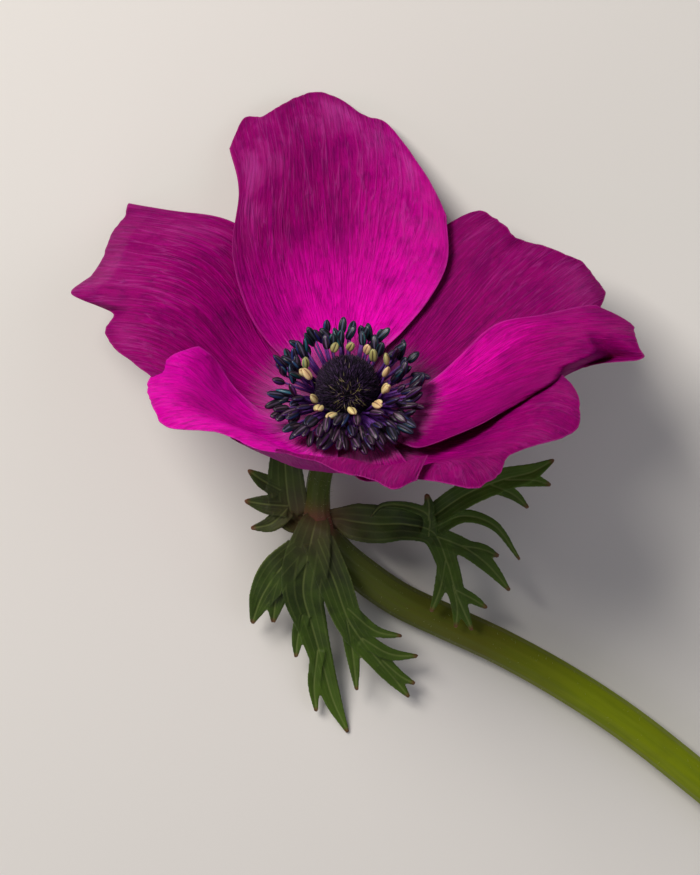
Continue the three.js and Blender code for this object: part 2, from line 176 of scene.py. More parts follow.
def mesh_piece(name: str, mesh: Mesh) -> bpy.types.Object:
    """Makes a smooth shaded piece.

    Args:
        name: the object's name.
        mesh: its points in the row frame, its faces, and its numbers or vectors for each point.
    Returns:
        The object, linked to the scene.
    """
    points, faces, attributes = mesh
    data = bpy.data.meshes.new(name)
    data.from_pydata((points * MM).tolist(), [], faces)
    for key, values in attributes.items():
        values = np.ascontiguousarray(values, dtype=np.float32)
        kind, slot = ("FLOAT", "value") if values.ndim == 1 else ("FLOAT_VECTOR", "vector")
        data.attributes.new(key, kind, "POINT").data.foreach_set(slot, values.ravel())
    data.polygons.foreach_set("use_smooth", np.ones(len(data.polygons), dtype=bool))
    data.update()
    return into_scene(name, data)


def dress(piece: bpy.types.Object, material: bpy.types.Material, slot: str, *nodes: str) -> None:
    """Gives a piece its material and its place in the record, and reports it.

    Args:
        piece: the finished piece.
        material: what covers it.
        slot: the record's material slot; not used.
        nodes: the CAD nodes that it stands for.
    """
    piece.data.materials.append(material)
    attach(piece, BODY)
    if nodes:
        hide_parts(*nodes)
    LOG.info("%s: %d faces", piece.name, len(piece.data.polygons))


def smooth(t: np.ndarray) -> np.ndarray:
    """Eases from 0 to 1 as t goes from 0 to 1."""
    x = np.clip(t, 0, 1)
    return x * x * (3 - 2 * x)


def unit(vectors: np.ndarray) -> np.ndarray:
    """Scales each vector to length 1."""
    return vectors / np.maximum(np.linalg.norm(vectors, axis=-1, keepdims=True), 1e-12)


def around(corners: int) -> np.ndarray:
    """Angles of evenly spaced corners round a circle."""
    return np.arange(corners) * math.tau / corners


def through(values: tuple[float, ...], t: np.ndarray) -> np.ndarray:
    """Smooth curve through evenly spaced values.

    Args:
        values: the values, from t = 0 to t = 1.
        t: where to read the curve.
    Returns:
        The curve's value at each t.
    """
    v = np.asarray(values, dtype=float)
    v = np.concatenate([[2 * v[0] - v[1]], v, [2 * v[-1] - v[-2]]])
    last = len(values) - 1
    place = np.clip(t, 0, 1) * last
    i = np.minimum(place.astype(int), last - 1)
    f = place - i
    p0, p1, p2, p3 = (v[i + k] for k in range(4))
    return p1 + 0.5 * f * (p2 - p0 + f * (2 * p0 - 5 * p1 + 4 * p2 - p3 + f * (3 * (p1 - p2) + p3 - p0)))


def waves(
    table: tuple[tuple[float, float, float], ...], u: np.ndarray, v: np.ndarray, phases: np.ndarray,
) -> np.ndarray:
    """Adds up waves over a petal.

    Args:
        table: height of each wave, and its radians for each unit of v and of u.
        u: from claw to rim, 0 to 1.
        v: across, from -1 to 1.
        phases: where each wave starts.
    Returns:
        Their sum at each point.
    """
    return sum(
        high * np.sin(across * v + out * u + phase) for (high, across, out), phase in zip(table, phases)
    )


@dataclass
class Route:
    """Smooth centripetal curve through stations [x, y, z, size], in millimetres."""

    stations: tuple[tuple[float, float, float, float], ...]
    per_span: int
    points: np.ndarray = field(init=False)
    sizes: np.ndarray = field(init=False)
    tangents: np.ndarray = field(init=False)
    lengths: np.ndarray = field(init=False)

    def __post_init__(self) -> None:
        """Works out the curve's points, sizes, tangents and lengths."""
        table = np.asarray(self.stations, dtype=float)
        place = table[:, :3]
        place = np.vstack([2 * place[0] - place[1], place, 2 * place[-1] - place[-2]])
        gaps = np.sqrt(np.linalg.norm(np.diff(place, axis=0), axis=1))
        found = []
        spans = len(table) - 1
        for i in range(spans):
            x0, x1, x2, x3 = place[i:i + 4]
            d0, d1, d2 = gaps[i:i + 3]
            t1 = ((x1 - x0) / d0 - (x2 - x0) / (d0 + d1) + (x2 - x1) / d1) * d1
            t2 = ((x2 - x1) / d1 - (x3 - x1) / (d1 + d2) + (x3 - x2) / d2) * d1
            for k in range(self.per_span + (i == spans - 1)):
                t = k / self.per_span
                cubic = 2 * x1 - 2 * x2 + t1 + t2
                square = 3 * (x2 - x1) - 2 * t1 - t2
                found.append(x1 + t * (t1 + t * (square + t * cubic)))
        self.points = np.array(found)
        self.sizes = through(tuple(table[:, 3]), np.linspace(0, 1, len(found)))
        self.tangents = unit(np.gradient(self.points, axis=0))
        steps = np.linalg.norm(np.diff(self.points, axis=0), axis=1)
        self.lengths = np.concatenate([[0], np.cumsum(steps)])

    def sides(self, first: tuple[float, float, float]) -> np.ndarray:
        """Directions square to the curve that turn with it as little as they can.

        Args:
            first: rough direction at the start.
        Returns:
            One direction for each point.
        """
        side = np.asarray(first, dtype=float)
        found = []
        for tangent in self.tangents:
            side = unit(side - tangent * side.dot(tangent))
            found.append(side)
        return np.array(found)


def tube_faces(rings: int, size: int) -> list:
    """Faces of a closed tube of rings.

    Args:
        rings: how many rings.
        size: corners in a ring.
    Returns:
        Corner numbers of each face.
    """
    i, j = np.meshgrid(np.arange(rings - 1), np.arange(size), indexing="ij")
    a, b = i * size + j, i * size + (j + 1) % size
    faces = np.stack([a, b, b + size, a + size], axis=-1).reshape(-1, 4).tolist()
    return faces + [list(range(size))[::-1], list(range((rings - 1) * size, rings * size))]


def sheet_faces(rows: int, columns: int) -> list:
    """Faces of a closed sheet, whose upper corners are numbered row by row before its lower ones.

    Args:
        rows: how many rows of faces.
        columns: how many faces in a row.
    Returns:
        Corner numbers of each face.
    """
    at = np.arange((rows + 1) * (columns + 1)).reshape(rows + 1, columns + 1)
    upper = np.stack([at[:-1, :-1], at[1:, :-1], at[1:, 1:], at[:-1, 1:]], axis=-1).reshape(-1, 4)
    outline = np.concatenate([at[0, :-1], at[:-1, -1], at[-1, :0:-1], at[:0:-1, 0]])
    after = np.roll(outline, -1)
    rim = np.stack([outline, after, after + at.size, outline + at.size], axis=-1)
    return np.concatenate([upper, upper[:, ::-1] + at.size, rim]).tolist()


def turned(profile: list[tuple[float, float]], corners: int, attribute: str) -> Mesh:
    """A form turned round the floral axis, with one attribute that is 0 all over.

    Args:
        profile: radius and height of each ring.
        corners: corners in a ring.
        attribute: the attribute's name.
    Returns:
        Points in the floral frame, faces and attributes.
    """
    turn = around(corners)
    points = np.concatenate([
        np.stack([radius * np.cos(turn), radius * np.sin(turn), np.full_like(turn, height)], axis=-1)
        for radius, height in profile
    ])
    return points, tube_faces(len(profile), corners), {attribute: np.zeros(len(points))}


def gather(parts: list[Mesh]) -> Mesh:
    """Puts meshes together into one.

    Args:
        parts: points, faces and attributes of each.
    Returns:
        Points, faces and attributes of the whole.
    """
    faces, start = [], 0
    for points, own, _ in parts:
        faces.extend([[k + start for k in face] for face in own])
        start += len(points)
    attributes = {key: np.concatenate([part[2][key] for part in parts]) for key in parts[0][2]}
    return np.concatenate([part[0] for part in parts]), faces, attributes


# Finishes

class Finish:
    """What a surface is made of. Each finish has a name, colours, sizes and a look of its own."""

    name: str

    def look(self, tree: Tree) -> dict:
        """Adds the nodes of this finish.

        Args:
            tree: node tree that gets them.
        Returns:
            For each socket of the shader a value or the output that feeds it.
        """
        raise NotImplementedError

    def material(self) -> bpy.types.Material:
        """Makes the node material.

        Returns:
            The material, with one shader.
        """
        material = bpy.data.materials.new(self.name)
        material.use_nodes = True
        tree = material.node_tree
        tree.nodes.clear()
        skin = add_node(tree, "ShaderNodeBsdfPrincipled", self.look(tree)).outputs[0]
        add_node(tree, "ShaderNodeOutputMaterial", {"Surface": skin})
        return material


@dataclass(frozen=True)
class PetalTissue(Finish):
    """Petal skin of an anemone: thin wet tissue under a layer of cone-shaped cells."""

    # The cells take up the light, so the petal looks like velvet: deep magenta, with fine streaks and
    # dark lines along its veins, and a pale claw. Painted light lies over it as well: clouds of painted
    # lilac sheen and painted highlights on fine wrinkles towards the rim, a thin painted highlight along
    # the rim, a painted glow round the claw, and painted light or shade over each petal and its flanks.
    name: str = "petal_velvet_skin"
    deep: str = "#7c0056"
    middle: str = "#a2006e"
    bright: str = "#f200b8"
    outer: str = "#7c0059"
    shade: str = "#4a0042"
    claw: str = "#cc78b4"
    painted_sheen: str = "#b8489e"
    rim_highlight: str = "#c44fa6"
    back: str = "#8e1c78"
    streak_mm: tuple[float, float] = (0.36, 8.0)    # width and length of a streak between two veins
    stria_mm: tuple[float, float] = (0.26, 13.0)    # of a dark line along the grain
    wrinkle_mm: tuple[float, float] = (1.1, 15.4)   # from one fine wrinkle to the next, and its length
    fleck_mm: tuple[float, float] = (0.5, 3.0)
    mottle_mm: tuple[float, float] = (6.0, 7.8)
    crinkle_mm: tuple[float, float] = (1.5, 2.7)
    papilla_mm: float = 0.22    # a cell is 0.03 mm, drawn coarser so that it shows
    ragged_mm: float = 9.0      # how far the streaks shift the edge of the pale claw
    relief_mm: float = 0.24
    roughness: float = 0.56
    ior: float = 1.4

    def look(self, tree: Tree) -> dict:
        """Adds the nodes of the petal skin.

        Args:
            tree: node tree that gets them.
        Returns:
            For each socket of the shader a value or the output that feeds it.
        """
        grain = add_node(tree, "ShaderNodeAttribute", {}, attribute_name="grain").outputs["Vector"]
        along, border, back = three_of(tree, "zone")
        # The tone holds each petal's painted light: a glow round the claw, a dusk of painted shade over the
        # whole petal (below 0 for painted light), and its share of painted sheen.
        painted_glow, painted_dusk, painted_sheen_share = three_of(tree, "tone")
        streak, stria, wave, fleck, mottle, crinkle = (
            noise(tree, grain, (*size, 1.0), detail, waviness) for size, detail, waviness in (
                (self.streak_mm, 4.0, 0.5), (self.stria_mm, 2.0, 0.3), (self.wrinkle_mm, 2.0, 0.4),
                (self.fleck_mm, 3.0, 0.6), (self.mottle_mm, 3.0, 0.2), (self.crinkle_mm, 4.0, 0.8),
            )
        )
        # A wrinkle runs where its noise crosses the middle.
        away = add_node(tree, "ShaderNodeMath", {0: wave, 1: 0.5}, operation="SUBTRACT").outputs[0]
        away = add_node(tree, "ShaderNodeMath", {0: away}, operation="ABSOLUTE").outputs[0]
        wrinkle = add_node(tree, "ShaderNodeMapRange", {0: away, 1: 0.035, 2: 0.0}).outputs[0]
        ragged = add_node(tree, "ShaderNodeMath", {
            0: streak, 1: self.ragged_mm, 2: along,
        }, operation="MULTIPLY_ADD").outputs[0]
        streaked = add_node(tree, "ShaderNodeValToRGB", {0: streak}, stops=(
            (0.34, self.deep), (0.5, self.middle), (0.66, self.bright),
        )).outputs[0]
        # Readings of along, border and ragged are in millimetres, from the claw and from the rim.
        colour = coats(tree, streaked, [
            (self.middle, (along, 12.0, 34.0, 0.25, 0.7)),
            # Darker and bluer towards the rim: partly the petal's own colour, partly painted shade where the
            # light falls off.
            (self.outer, (along, 16.0, 38.0, 0.0, 0.6)),
            # Painted light: brighter round the claw by the petal's glow, and over the whole petal where its
            # dusk is below 0; painted shade where its dusk is above 0.
            (self.bright, (along, 27.0, 10.0), (painted_glow, 0.0, 1.0)),
            (self.bright, (painted_dusk, 0.0, -1.0)),
            (self.outer, (painted_dusk, 0.0, 1.0)),
            (self.shade, (fleck, 0.5, 0.7, 0.0, 0.42)),
            (self.shade, (along, 33.0, 13.0, 0.08, 0.7), (stria, 0.53, 0.66), (painted_glow, 1.2, 0.3)),
            (self.shade, (mottle, 0.5, 0.7, 0.0, 0.3)),
            (self.shade, (crinkle, 0.48, 0.7, 0.0, 0.32)),
            # The painted sheen lies in clouds, in a band just inside the rim, and follows the streaks.
            (self.painted_sheen, (along, 22.0, 36.0, 0.0, 0.5), (border, 10.0, 3.5), (border, 0.6, 2.5),
             (mottle, 0.56, 0.4), (streak, 0.36, 0.6, 0.3, 1.0), (painted_sheen_share, 0.0, 1.0)),
            # Painted highlights on the fine wrinkles.
            (self.painted_sheen, (along, 14.0, 32.0, 0.02, 0.22), (wrinkle, 0.0, 1.0),
             (painted_sheen_share, 0.0, 0.35, 0.45, 1.0)),
            (self.shade, (border, 2.4, 0.5, 0.0, 0.2)),
            # Painted highlight: a thin pale line along the rim.
            (self.rim_highlight, (border, 0.3, 0.05, 0.0, 0.18)),
            (self.claw, (ragged, 15.5, 8.0, 0.0, 0.6)),
            (self.back, (back, 0.0, 1.0, 0.0, 0.5)),
        ])
        papilla = add_node(tree, "ShaderNodeTexNoise", {
            "Vector": grain, "Scale": 1 / self.papilla_mm, "Detail": 1.0,
        }).outputs[0]
        height = fleck
        for source, share in ((papilla, 0.2), (crinkle, 0.9), (wrinkle, 0.35)):
            height = add_node(tree, "ShaderNodeMath", {
                0: source, 1: share, 2: height,
            }, operation="MULTIPLY_ADD").outputs[0]
        bump = add_node(tree, "ShaderNodeBump", {
            "Height": height, "Strength": 0.8, "Distance": self.relief_mm * MM,
        }).outputs[0]
        rough = add_node(tree, "ShaderNodeMapRange", {
            0: mottle, 1: 0.3, 2: 0.7, 3: self.roughness - 0.08, 4: self.roughness + 0.1,
        }).outputs[0]
        return {
            "Base Color": colour, "Roughness": rough, "Normal": bump, "IOR": self.ior,
            "Specular IOR Level": 0.05, "Sheen Weight": 0.02, "Sheen Roughness": 0.35,
            "Sheen Tint": linear(self.painted_sheen), "Subsurface Weight": 0.3,
            "Subsurface Radius": (1.0, 0.15, 0.5), "Subsurface Scale": 0.9 * MM,
        }


@dataclass(frozen=True)
class StemSkin(Finish):
    """Skin of a cut flower's stem: a waxy cuticle over faint ribs, with a little down."""

    # Wax gives a soft satin gloss. The green is yellowish, browned where the stem bends, pinkish at
    # the node, and the cut end shows pale pith.
    name: str = "stem_waxy_skin"
    light: str = "#75820a"
    dark: str = "#4e600e"
    brown: str = "#575814"
    node: str = "#7a4a3e"
    neck: str = "#4a5526"
    pith: str = "#c9cf9a"
    rib_mm: tuple[float, float] = (0.9, 16.0)       # width and length of a streak on the ribs
    patch_mm: float = 7.0
    speck_mm: float = 0.3
    relief_mm: float = 0.08
    roughness: float = 0.42
    ior: float = 1.42

    def look(self, tree: Tree) -> dict:
        """Adds the nodes of the stem's skin.

        Args:
            tree: node tree that gets them.
        Returns:
            For each socket of the shader a value or the output that feeds it.
        """
        grain = add_node(tree, "ShaderNodeAttribute", {}, attribute_name="grain").outputs["Vector"]
        along, knot, cut = three_of(tree, "zone")
        ribs = noise(tree, grain, (*self.rib_mm, self.rib_mm[0]))
        patch = noise(tree, grain, (self.patch_mm,) * 3)
        speck = noise(tree, grain, (self.speck_mm,) * 3, 1.0)
        ground = add_node(tree, "ShaderNodeValToRGB", {0: along}, stops=(
            (0.0, self.dark), (0.3, self.light), (0.52, self.light), (0.64, self.brown),
            (0.84, self.neck), (1.0, self.neck),
        )).outputs[0]
        colour = coats(tree, ground, [
            (self.dark, (ribs, 0.56, 0.36, 0.0, 0.32)), (self.brown, (patch, 0.5, 0.75, 0.0, 0.3)),
            (self.node, (knot, 0.0, 1.0)), (self.pith, (cut, 0.0, 1.0)),
        ])
        height = add_node(tree, "ShaderNodeMath", {
            0: speck, 1: 0.25, 2: ribs,
        }, operation="MULTIPLY_ADD").outputs[0]
        bump = add_node(tree, "ShaderNodeBump", {
            "Height": height, "Strength": 0.7, "Distance": self.relief_mm * MM,
        }).outputs[0]
        rough = add_node(tree, "ShaderNodeMapRange", {
            0: patch, 3: self.roughness - 0.08, 4: self.roughness + 0.15,
        }).outputs[0]
        return {
            "Base Color": colour, "Roughness": rough, "Normal": bump, "IOR": self.ior,
            "Specular IOR Level": 0.16, "Sheen Weight": 0.02, "Sheen Roughness": 0.4,
            "Subsurface Weight": 0.15, "Subsurface Radius": (0.8, 1.0, 0.2), "Subsurface Scale": 0.8 * MM,
        }


@dataclass(frozen=True)
class LeafBlade(Finish):
    """Blade of a bract: a matt cut leaf with veins that run along each lobe."""

    # Matt and slightly greyish green near the stem, fresher further out, with pale midribs, thin
    # pale margins and a small red-brown tip on each lobe.
    name: str = "bract_leaf_blade"
    dark: str = "#1e2b0c"
    green: str = "#384d13"
    fresh: str = "#506c16"
    grey: str = "#3d4827"
    vein: str = "#738044"
    tip: str = "#6c3a2c"
    root: str = "#7c5546"
    soft_mm: float = 4.0
    cell_mm: float = 0.35       # a cell is 0.05 mm, drawn coarser so that it shows
    relief_mm: float = 0.05
    roughness: float = 0.55
    ior: float = 1.42

    def look(self, tree: Tree) -> dict:
        """Adds the nodes of the blade.

        Args:
            tree: node tree that gets them.
        Returns:
            For each socket of the shader a value or the output that feeds it.
        """
        from_rib, reach, root = three_of(tree, "rib")
        edge, nerve, left = three_of(tree, "lobe")
        place = add_node(tree, "ShaderNodeNewGeometry", {}).outputs["Position"]
        soft = noise(tree, place, (self.soft_mm * MM,) * 3)
        cell = noise(tree, place, (self.cell_mm * MM,) * 3, 2.0)
        ground = add_node(tree, "ShaderNodeValToRGB", {0: soft}, stops=(
            (0.32, self.dark), (0.66, self.green),
        )).outputs[0]
        colour = coats(tree, ground, [
            (self.grey, (reach, 14.0, 3.0, 0.0, 0.5)), (self.fresh, (reach, 12.0, 34.0, 0.0, 0.6)),
            (self.vein, (from_rib, 0.2, 0.05, 0.0, 0.5)), (self.vein, (nerve, 0.75, 1.0, 0.0, 0.2)),
            (self.vein, (edge, 0.88, 0.98, 0.0, 0.5)), (self.tip, (left, 1.0, 0.2, 0.0, 0.8)),
            (self.root, (root, 0.0, 1.0, 0.0, 0.7)),
        ])
        bump = add_node(tree, "ShaderNodeBump", {
            "Height": cell, "Strength": 0.6, "Distance": self.relief_mm * MM,
        }).outputs[0]
        rough = add_node(tree, "ShaderNodeMapRange", {
            0: soft, 3: self.roughness - 0.1, 4: self.roughness + 0.12,
        }).outputs[0]
        return {
            "Base Color": colour, "Roughness": rough, "Normal": bump, "IOR": self.ior,
            "Specular IOR Level": 0.25, "Sheen Weight": 0.03, "Subsurface Weight": 0.2,
            "Subsurface Radius": (0.6, 1.0, 0.2), "Subsurface Scale": 0.6 * MM,
        }


@dataclass(frozen=True)
class AntherWall(Finish):
    """Wall of an anther: a smooth waxy sac of two lobes, which slits open along its face."""

    # Satin, with a soft glint on each lobe, a groove and a rim of other hues.
    name: str
    wall: str
    rim: str
    slit: str
    tone: float                 # how far one anther's brightness strays from the next
    hue: float                  # and its hue
    roughness: float = 0.32
    ior: float = 1.45
    grain_mm: float = 0.14      # pollen and cells, drawn coarser so that they show
    relief_mm: float = 0.03

    def look(self, tree: Tree) -> dict:
        """Adds the nodes of the anther's wall.

        Args:
            tree: node tree that gets them.
        Returns:
            For each socket of the shader a value or the output that feeds it.
        """
        across, shift, tone = three_of(tree, "sac")
        away = add_node(tree, "ShaderNodeMath", {0: across}, operation="ABSOLUTE").outputs[0]
        place = add_node(tree, "ShaderNodeNewGeometry", {}).outputs["Position"]
        dust = noise(tree, place, (self.grain_mm * MM,) * 3, 2.0)
        base = add_node(tree, "ShaderNodeValToRGB", {0: away}, stops=(
            (0.05, self.slit), (0.24, self.wall), (0.7, self.wall), (0.95, self.rim),
        )).outputs[0]
        value = add_node(tree, "ShaderNodeMapRange", {
            0: tone, 3: 1 - self.tone, 4: 1 + self.tone,
        }).outputs[0]
        hue = add_node(tree, "ShaderNodeMapRange", {
            0: shift, 3: 0.5 - self.hue / 4, 4: 0.5 + self.hue,
        }).outputs[0]
        colour = add_node(tree, "ShaderNodeHueSaturation", {
            "Color": base, "Value": value, "Hue": hue,
        }).outputs[0]
        bump = add_node(tree, "ShaderNodeBump", {
            "Height": dust, "Strength": 0.5, "Distance": self.relief_mm * MM,
        }).outputs[0]
        return {
            "Base Color": colour, "Roughness": self.roughness, "Normal": bump, "IOR": self.ior,
            "Specular IOR Level": 0.38, "Sheen Weight": 0.02, "Sheen Roughness": 0.4,
        }


@dataclass(frozen=True)
class FilamentSkin(Finish):
    """Skin of a filament: the slim translucent stalk of a stamen."""

    # Violet and a little glassy, nearly black towards its root.
    name: str = "filament_violet_skin"
    root: str = "#0e0616"
    middle: str = "#3a1558"
    tip: str = "#6a4190"
    drift_mm: float = 0.8
    roughness: float = 0.4
    ior: float = 1.4

    def look(self, tree: Tree) -> dict:
        """Adds the nodes of the filament's skin.

        Args:
            tree: node tree that gets them.
        Returns:
            For each socket of the shader a value or the output that feeds it.
        """
        along = add_node(tree, "ShaderNodeAttribute", {}, attribute_name="along").outputs["Fac"]
        place = add_node(tree, "ShaderNodeNewGeometry", {}).outputs["Position"]
        drift = noise(tree, place, (self.drift_mm * MM,) * 3, 1.0)
        shifted = add_node(tree, "ShaderNodeMath", {
            0: drift, 1: 0.4, 2: along,
        }, operation="MULTIPLY_ADD").outputs[0]
        colour = add_node(tree, "ShaderNodeValToRGB", {0: shifted}, stops=(
            (0.2, self.root), (0.6, self.middle), (0.9167, self.tip),
        )).outputs[0]
        return {
            "Base Color": colour, "Roughness": self.roughness, "IOR": self.ior,
            "Specular IOR Level": 0.15, "Subsurface Weight": 0.1, "Subsurface Scale": 0.3 * MM,
        }


@dataclass(frozen=True)
class StyleFelt(Finish):
    """Felt of styles on the pistil dome: down that is combed away from one point."""

    # Dull and nearly black with a violet cast, streaked by a few straw-coloured hairs.
    name: str = "style_felt"
    ground: str = "#050307"
    violet: str = "#20122c"
    light: str = "#523a62"
    straw: str = "#958f4c"
    tuft_mm: float = 0.5
    relief_mm: float = 0.05
    roughness: float = 0.7
    ior: float = 1.4

    def look(self, tree: Tree) -> dict:
        """Adds the nodes of the felt.

        Args:
            tree: node tree that gets them.
        Returns:
            For each socket of the shader a value or the output that feeds it.
        """
        tone = add_node(tree, "ShaderNodeAttribute", {}, attribute_name="tone").outputs["Fac"]
        colour = add_node(tree, "ShaderNodeValToRGB", {0: tone}, stops=(
            (0.0, self.ground), (0.4, self.violet), (0.75, self.light), (1.0, self.straw),
        )).outputs[0]
        place = add_node(tree, "ShaderNodeNewGeometry", {}).outputs["Position"]
        tufts = noise(tree, place, (self.tuft_mm * MM,) * 3, 2.0)
        bump = add_node(tree, "ShaderNodeBump", {
            "Height": tufts, "Strength": 0.5, "Distance": self.relief_mm * MM,
        }).outputs[0]
        return {
            "Base Color": colour, "Roughness": self.roughness, "Normal": bump, "IOR": self.ior,
            "Specular IOR Level": 0.2, "Sheen Weight": 0.04, "Sheen Roughness": 0.3,
        }


@dataclass(frozen=True)
class HairSheath(Finish):
    """Hair of a stem: one long dry cell."""

    # Nearly colourless, so that it only shows as a pale fuzz along the outline.
    name: str = "stem_hair_cell"
    dull: str = "#8e9660"
    light: str = "#b9bf8e"
    drift_mm: float = 3.0
    roughness: float = 0.5

    def look(self, tree: Tree) -> dict:
        """Adds the nodes of the hair.

        Args:
            tree: node tree that gets them.
        Returns:
            For each socket of the shader a value or the output that feeds it.
        """
        place = add_node(tree, "ShaderNodeNewGeometry", {}).outputs["Position"]
        drift = noise(tree, place, (self.drift_mm * MM,) * 3)
        colour = add_node(tree, "ShaderNodeValToRGB", {0: drift}, stops=(
            (0.3, self.dull), (0.7, self.light),
        )).outputs[0]
        return {"Base Color": colour, "Roughness": self.roughness}


@dataclass(frozen=True)
class PaleFloor(Finish):
    """Painted studio floor, matt and plain."""

    # Pale and without gloss, so that it takes nothing away from the flower.
    name: str = "studio_floor_paint"
    colour: str = "#d9d6d1"
    roughness: float = 0.85

    def look(self, tree: Tree) -> dict:
        """Gives the shader's sockets one even colour."""
        return {"Base Color": linear(self.colour), "Roughness": self.roughness}


# The bloom

@dataclass(frozen=True)
class BloomPlace:
    """Where the bloom stands and how far its axis leans, as in the solids."""

    foot: tuple[float, float, float] = (-29.3, 25.6, 0.0)
    height: float = 18.8
    tilt: float = 45.0

    def axes(self) -> np.ndarray:
        """The floral frame's axes, one in each row, as directions of the row frame."""
        cos, sin = math.cos(math.radians(self.tilt)), math.sin(math.radians(self.tilt))
        return np.array([[1.0, 0.0, 0.0], [0.0, cos, -sin], [0.0, sin, cos]])

    def to_row(self, mesh: Mesh) -> Mesh:
        """Moves a mesh from the floral frame to the row frame."""
        points, faces, attributes = mesh
        return points @ self.axes() + np.array(self.foot) + UP * self.height, faces, attributes

    def to_floral(self, direction: tuple[float, float, float]) -> np.ndarray:
        """Turns a direction of the row frame to the floral frame."""
        return self.axes() @ np.array(direction)


@dataclass(frozen=True)
class Bowl:
    """The bowl that all petals lie on, by azimuth round the floral axis."""

    # azimuth, angle at the claw, angle of the wall, angle of the lip, distance to the lip
    stations: tuple[tuple[float, ...], ...] = (
        (5, 14, 36, -6, 33), (30, 14, 34, -4, 32), (60, 14, 34, 2, 34), (97, 14, 42, 2, 40),
        (135, 12, 44, -8, 30), (163, 10, 52, -12, 26), (190, 12, 50, -10, 27),
        (218, 12, 50, 2, 32), (243, 12, 56, 8, 32), (268, 12, 56, 6, 32),
        (290, 12, 50, 0, 33), (325, 12, 43, 0, 35),
    )
    claw_radius: float = 4.6
    claw_height: float = -2.0
    wall: tuple[float, float] = (4.0, 14.0)     # where the wall starts to rise, and how long that takes
    lip_length: float = 18.0
    steps: int = 28

    def angles(self, azimuth: np.ndarray) -> np.ndarray:
        """Angles of the profile and the distance to its lip.

        Args:
            azimuth: in degrees.
        Returns:
            For each azimuth the angles at claw, wall and lip, and the distance.
        """
        table = np.array(self.stations, dtype=float)
        turn = np.mod(azimuth, 360)
        i = np.mod(np.searchsorted(table[:, 0], turn, side="right") - 1, len(table))
        here, after = table[i], table[(i + 1) % len(table)]
        span = np.mod(after[..., 0] - here[..., 0], 360)
        t = smooth(np.mod(turn - here[..., 0], 360) / span)[..., None]
        return (here + (after - here) * t)[..., 1:]

    def profile(self, azimuth: np.ndarray, distance: np.ndarray) -> tuple[np.ndarray, ...]:
        """Follows the profile out from the claw.

        Args:
            azimuth: in degrees.
            distance: along the profile, in millimetres.
        Returns:
            Radius and height there, and the profile's angle in radians.
        """
        claw, wall, lip, lip_at = np.moveaxis(self.angles(azimuth), -1, 0)

        def angle_at(s: np.ndarray) -> np.ndarray:
            """Angle of the profile.

            Args:
                s: distance from the claw.
            Returns:
                Radians above the level.
            """
            return np.radians(
                claw + (wall - claw) * smooth((s - self.wall[0]) / self.wall[1])
                + (lip - wall) * smooth((s - lip_at + self.lip_length / 2) / self.lip_length)
            )

        step = distance / self.steps
        radius = np.full_like(distance, self.claw_radius)
        height = np.full_like(distance, self.claw_height)
        for k in range(self.steps):
            angle = angle_at((k + 0.5) * step)
            radius = radius + np.cos(angle) * step
            height = height + np.sin(angle) * step
        return radius, height, angle_at(distance)


@dataclass(frozen=True)
class Fold:
    """A fold or curl of a petal, which sinks towards the floor where its depth is above 0."""

    across: float               # its middle and half its width, as shares of the half-width
    width: float
    start: float                # share of the petal's length
    depth: float                # in millimetres, at the rim
    power: float = 2.0          # 1 for a sharp crease, more for a soft bend
    slant: float = 0.0          # how far its middle moves across on the way in from the rim


@dataclass(frozen=True)
class Petal:
    """One petal. Half-widths run from claw to rim, the rim's lengths from edge to edge."""

    name: str
    middle: float               # azimuth of its midrib
    layer: int                  # 0 for the innermost whorl
    cup: tuple[float, float]    # how far the clockwise and the other edge stand off the bowl
    clockwise: tuple[float, ...]
    anticlockwise: tuple[float, ...]
    rim: tuple[float, ...]
    tone: tuple[float, float, float]    # painted glow round the claw, painted shade over the petal (below 0 for painted light), painted sheen share
    ruffle: float = 0.6
    flank_light: tuple[float, float] = (0.0, 0.0)    # painted light on each side beside the middle, below 0 for painted shade
    folds: tuple[Fold, ...] = ()

    def half(self, u: np.ndarray, v: np.ndarray) -> np.ndarray:
        """Half-width at a share of the length, on one side of the midrib."""
        return np.where(v < 0, through(self.clockwise, u), through(self.anticlockwise, u))

    def length(self, v: np.ndarray) -> np.ndarray:
        """Length from the claw to the rim, at a place across."""
        return through(self.rim, (v + 1) / 2)

    def phases(self, start: int, count: int) -> np.ndarray:
        """Phases of this petal's waves, drawn anew from each start."""
        return np.random.default_rng(start + int(self.middle) % 360).uniform(0, math.tau, count)


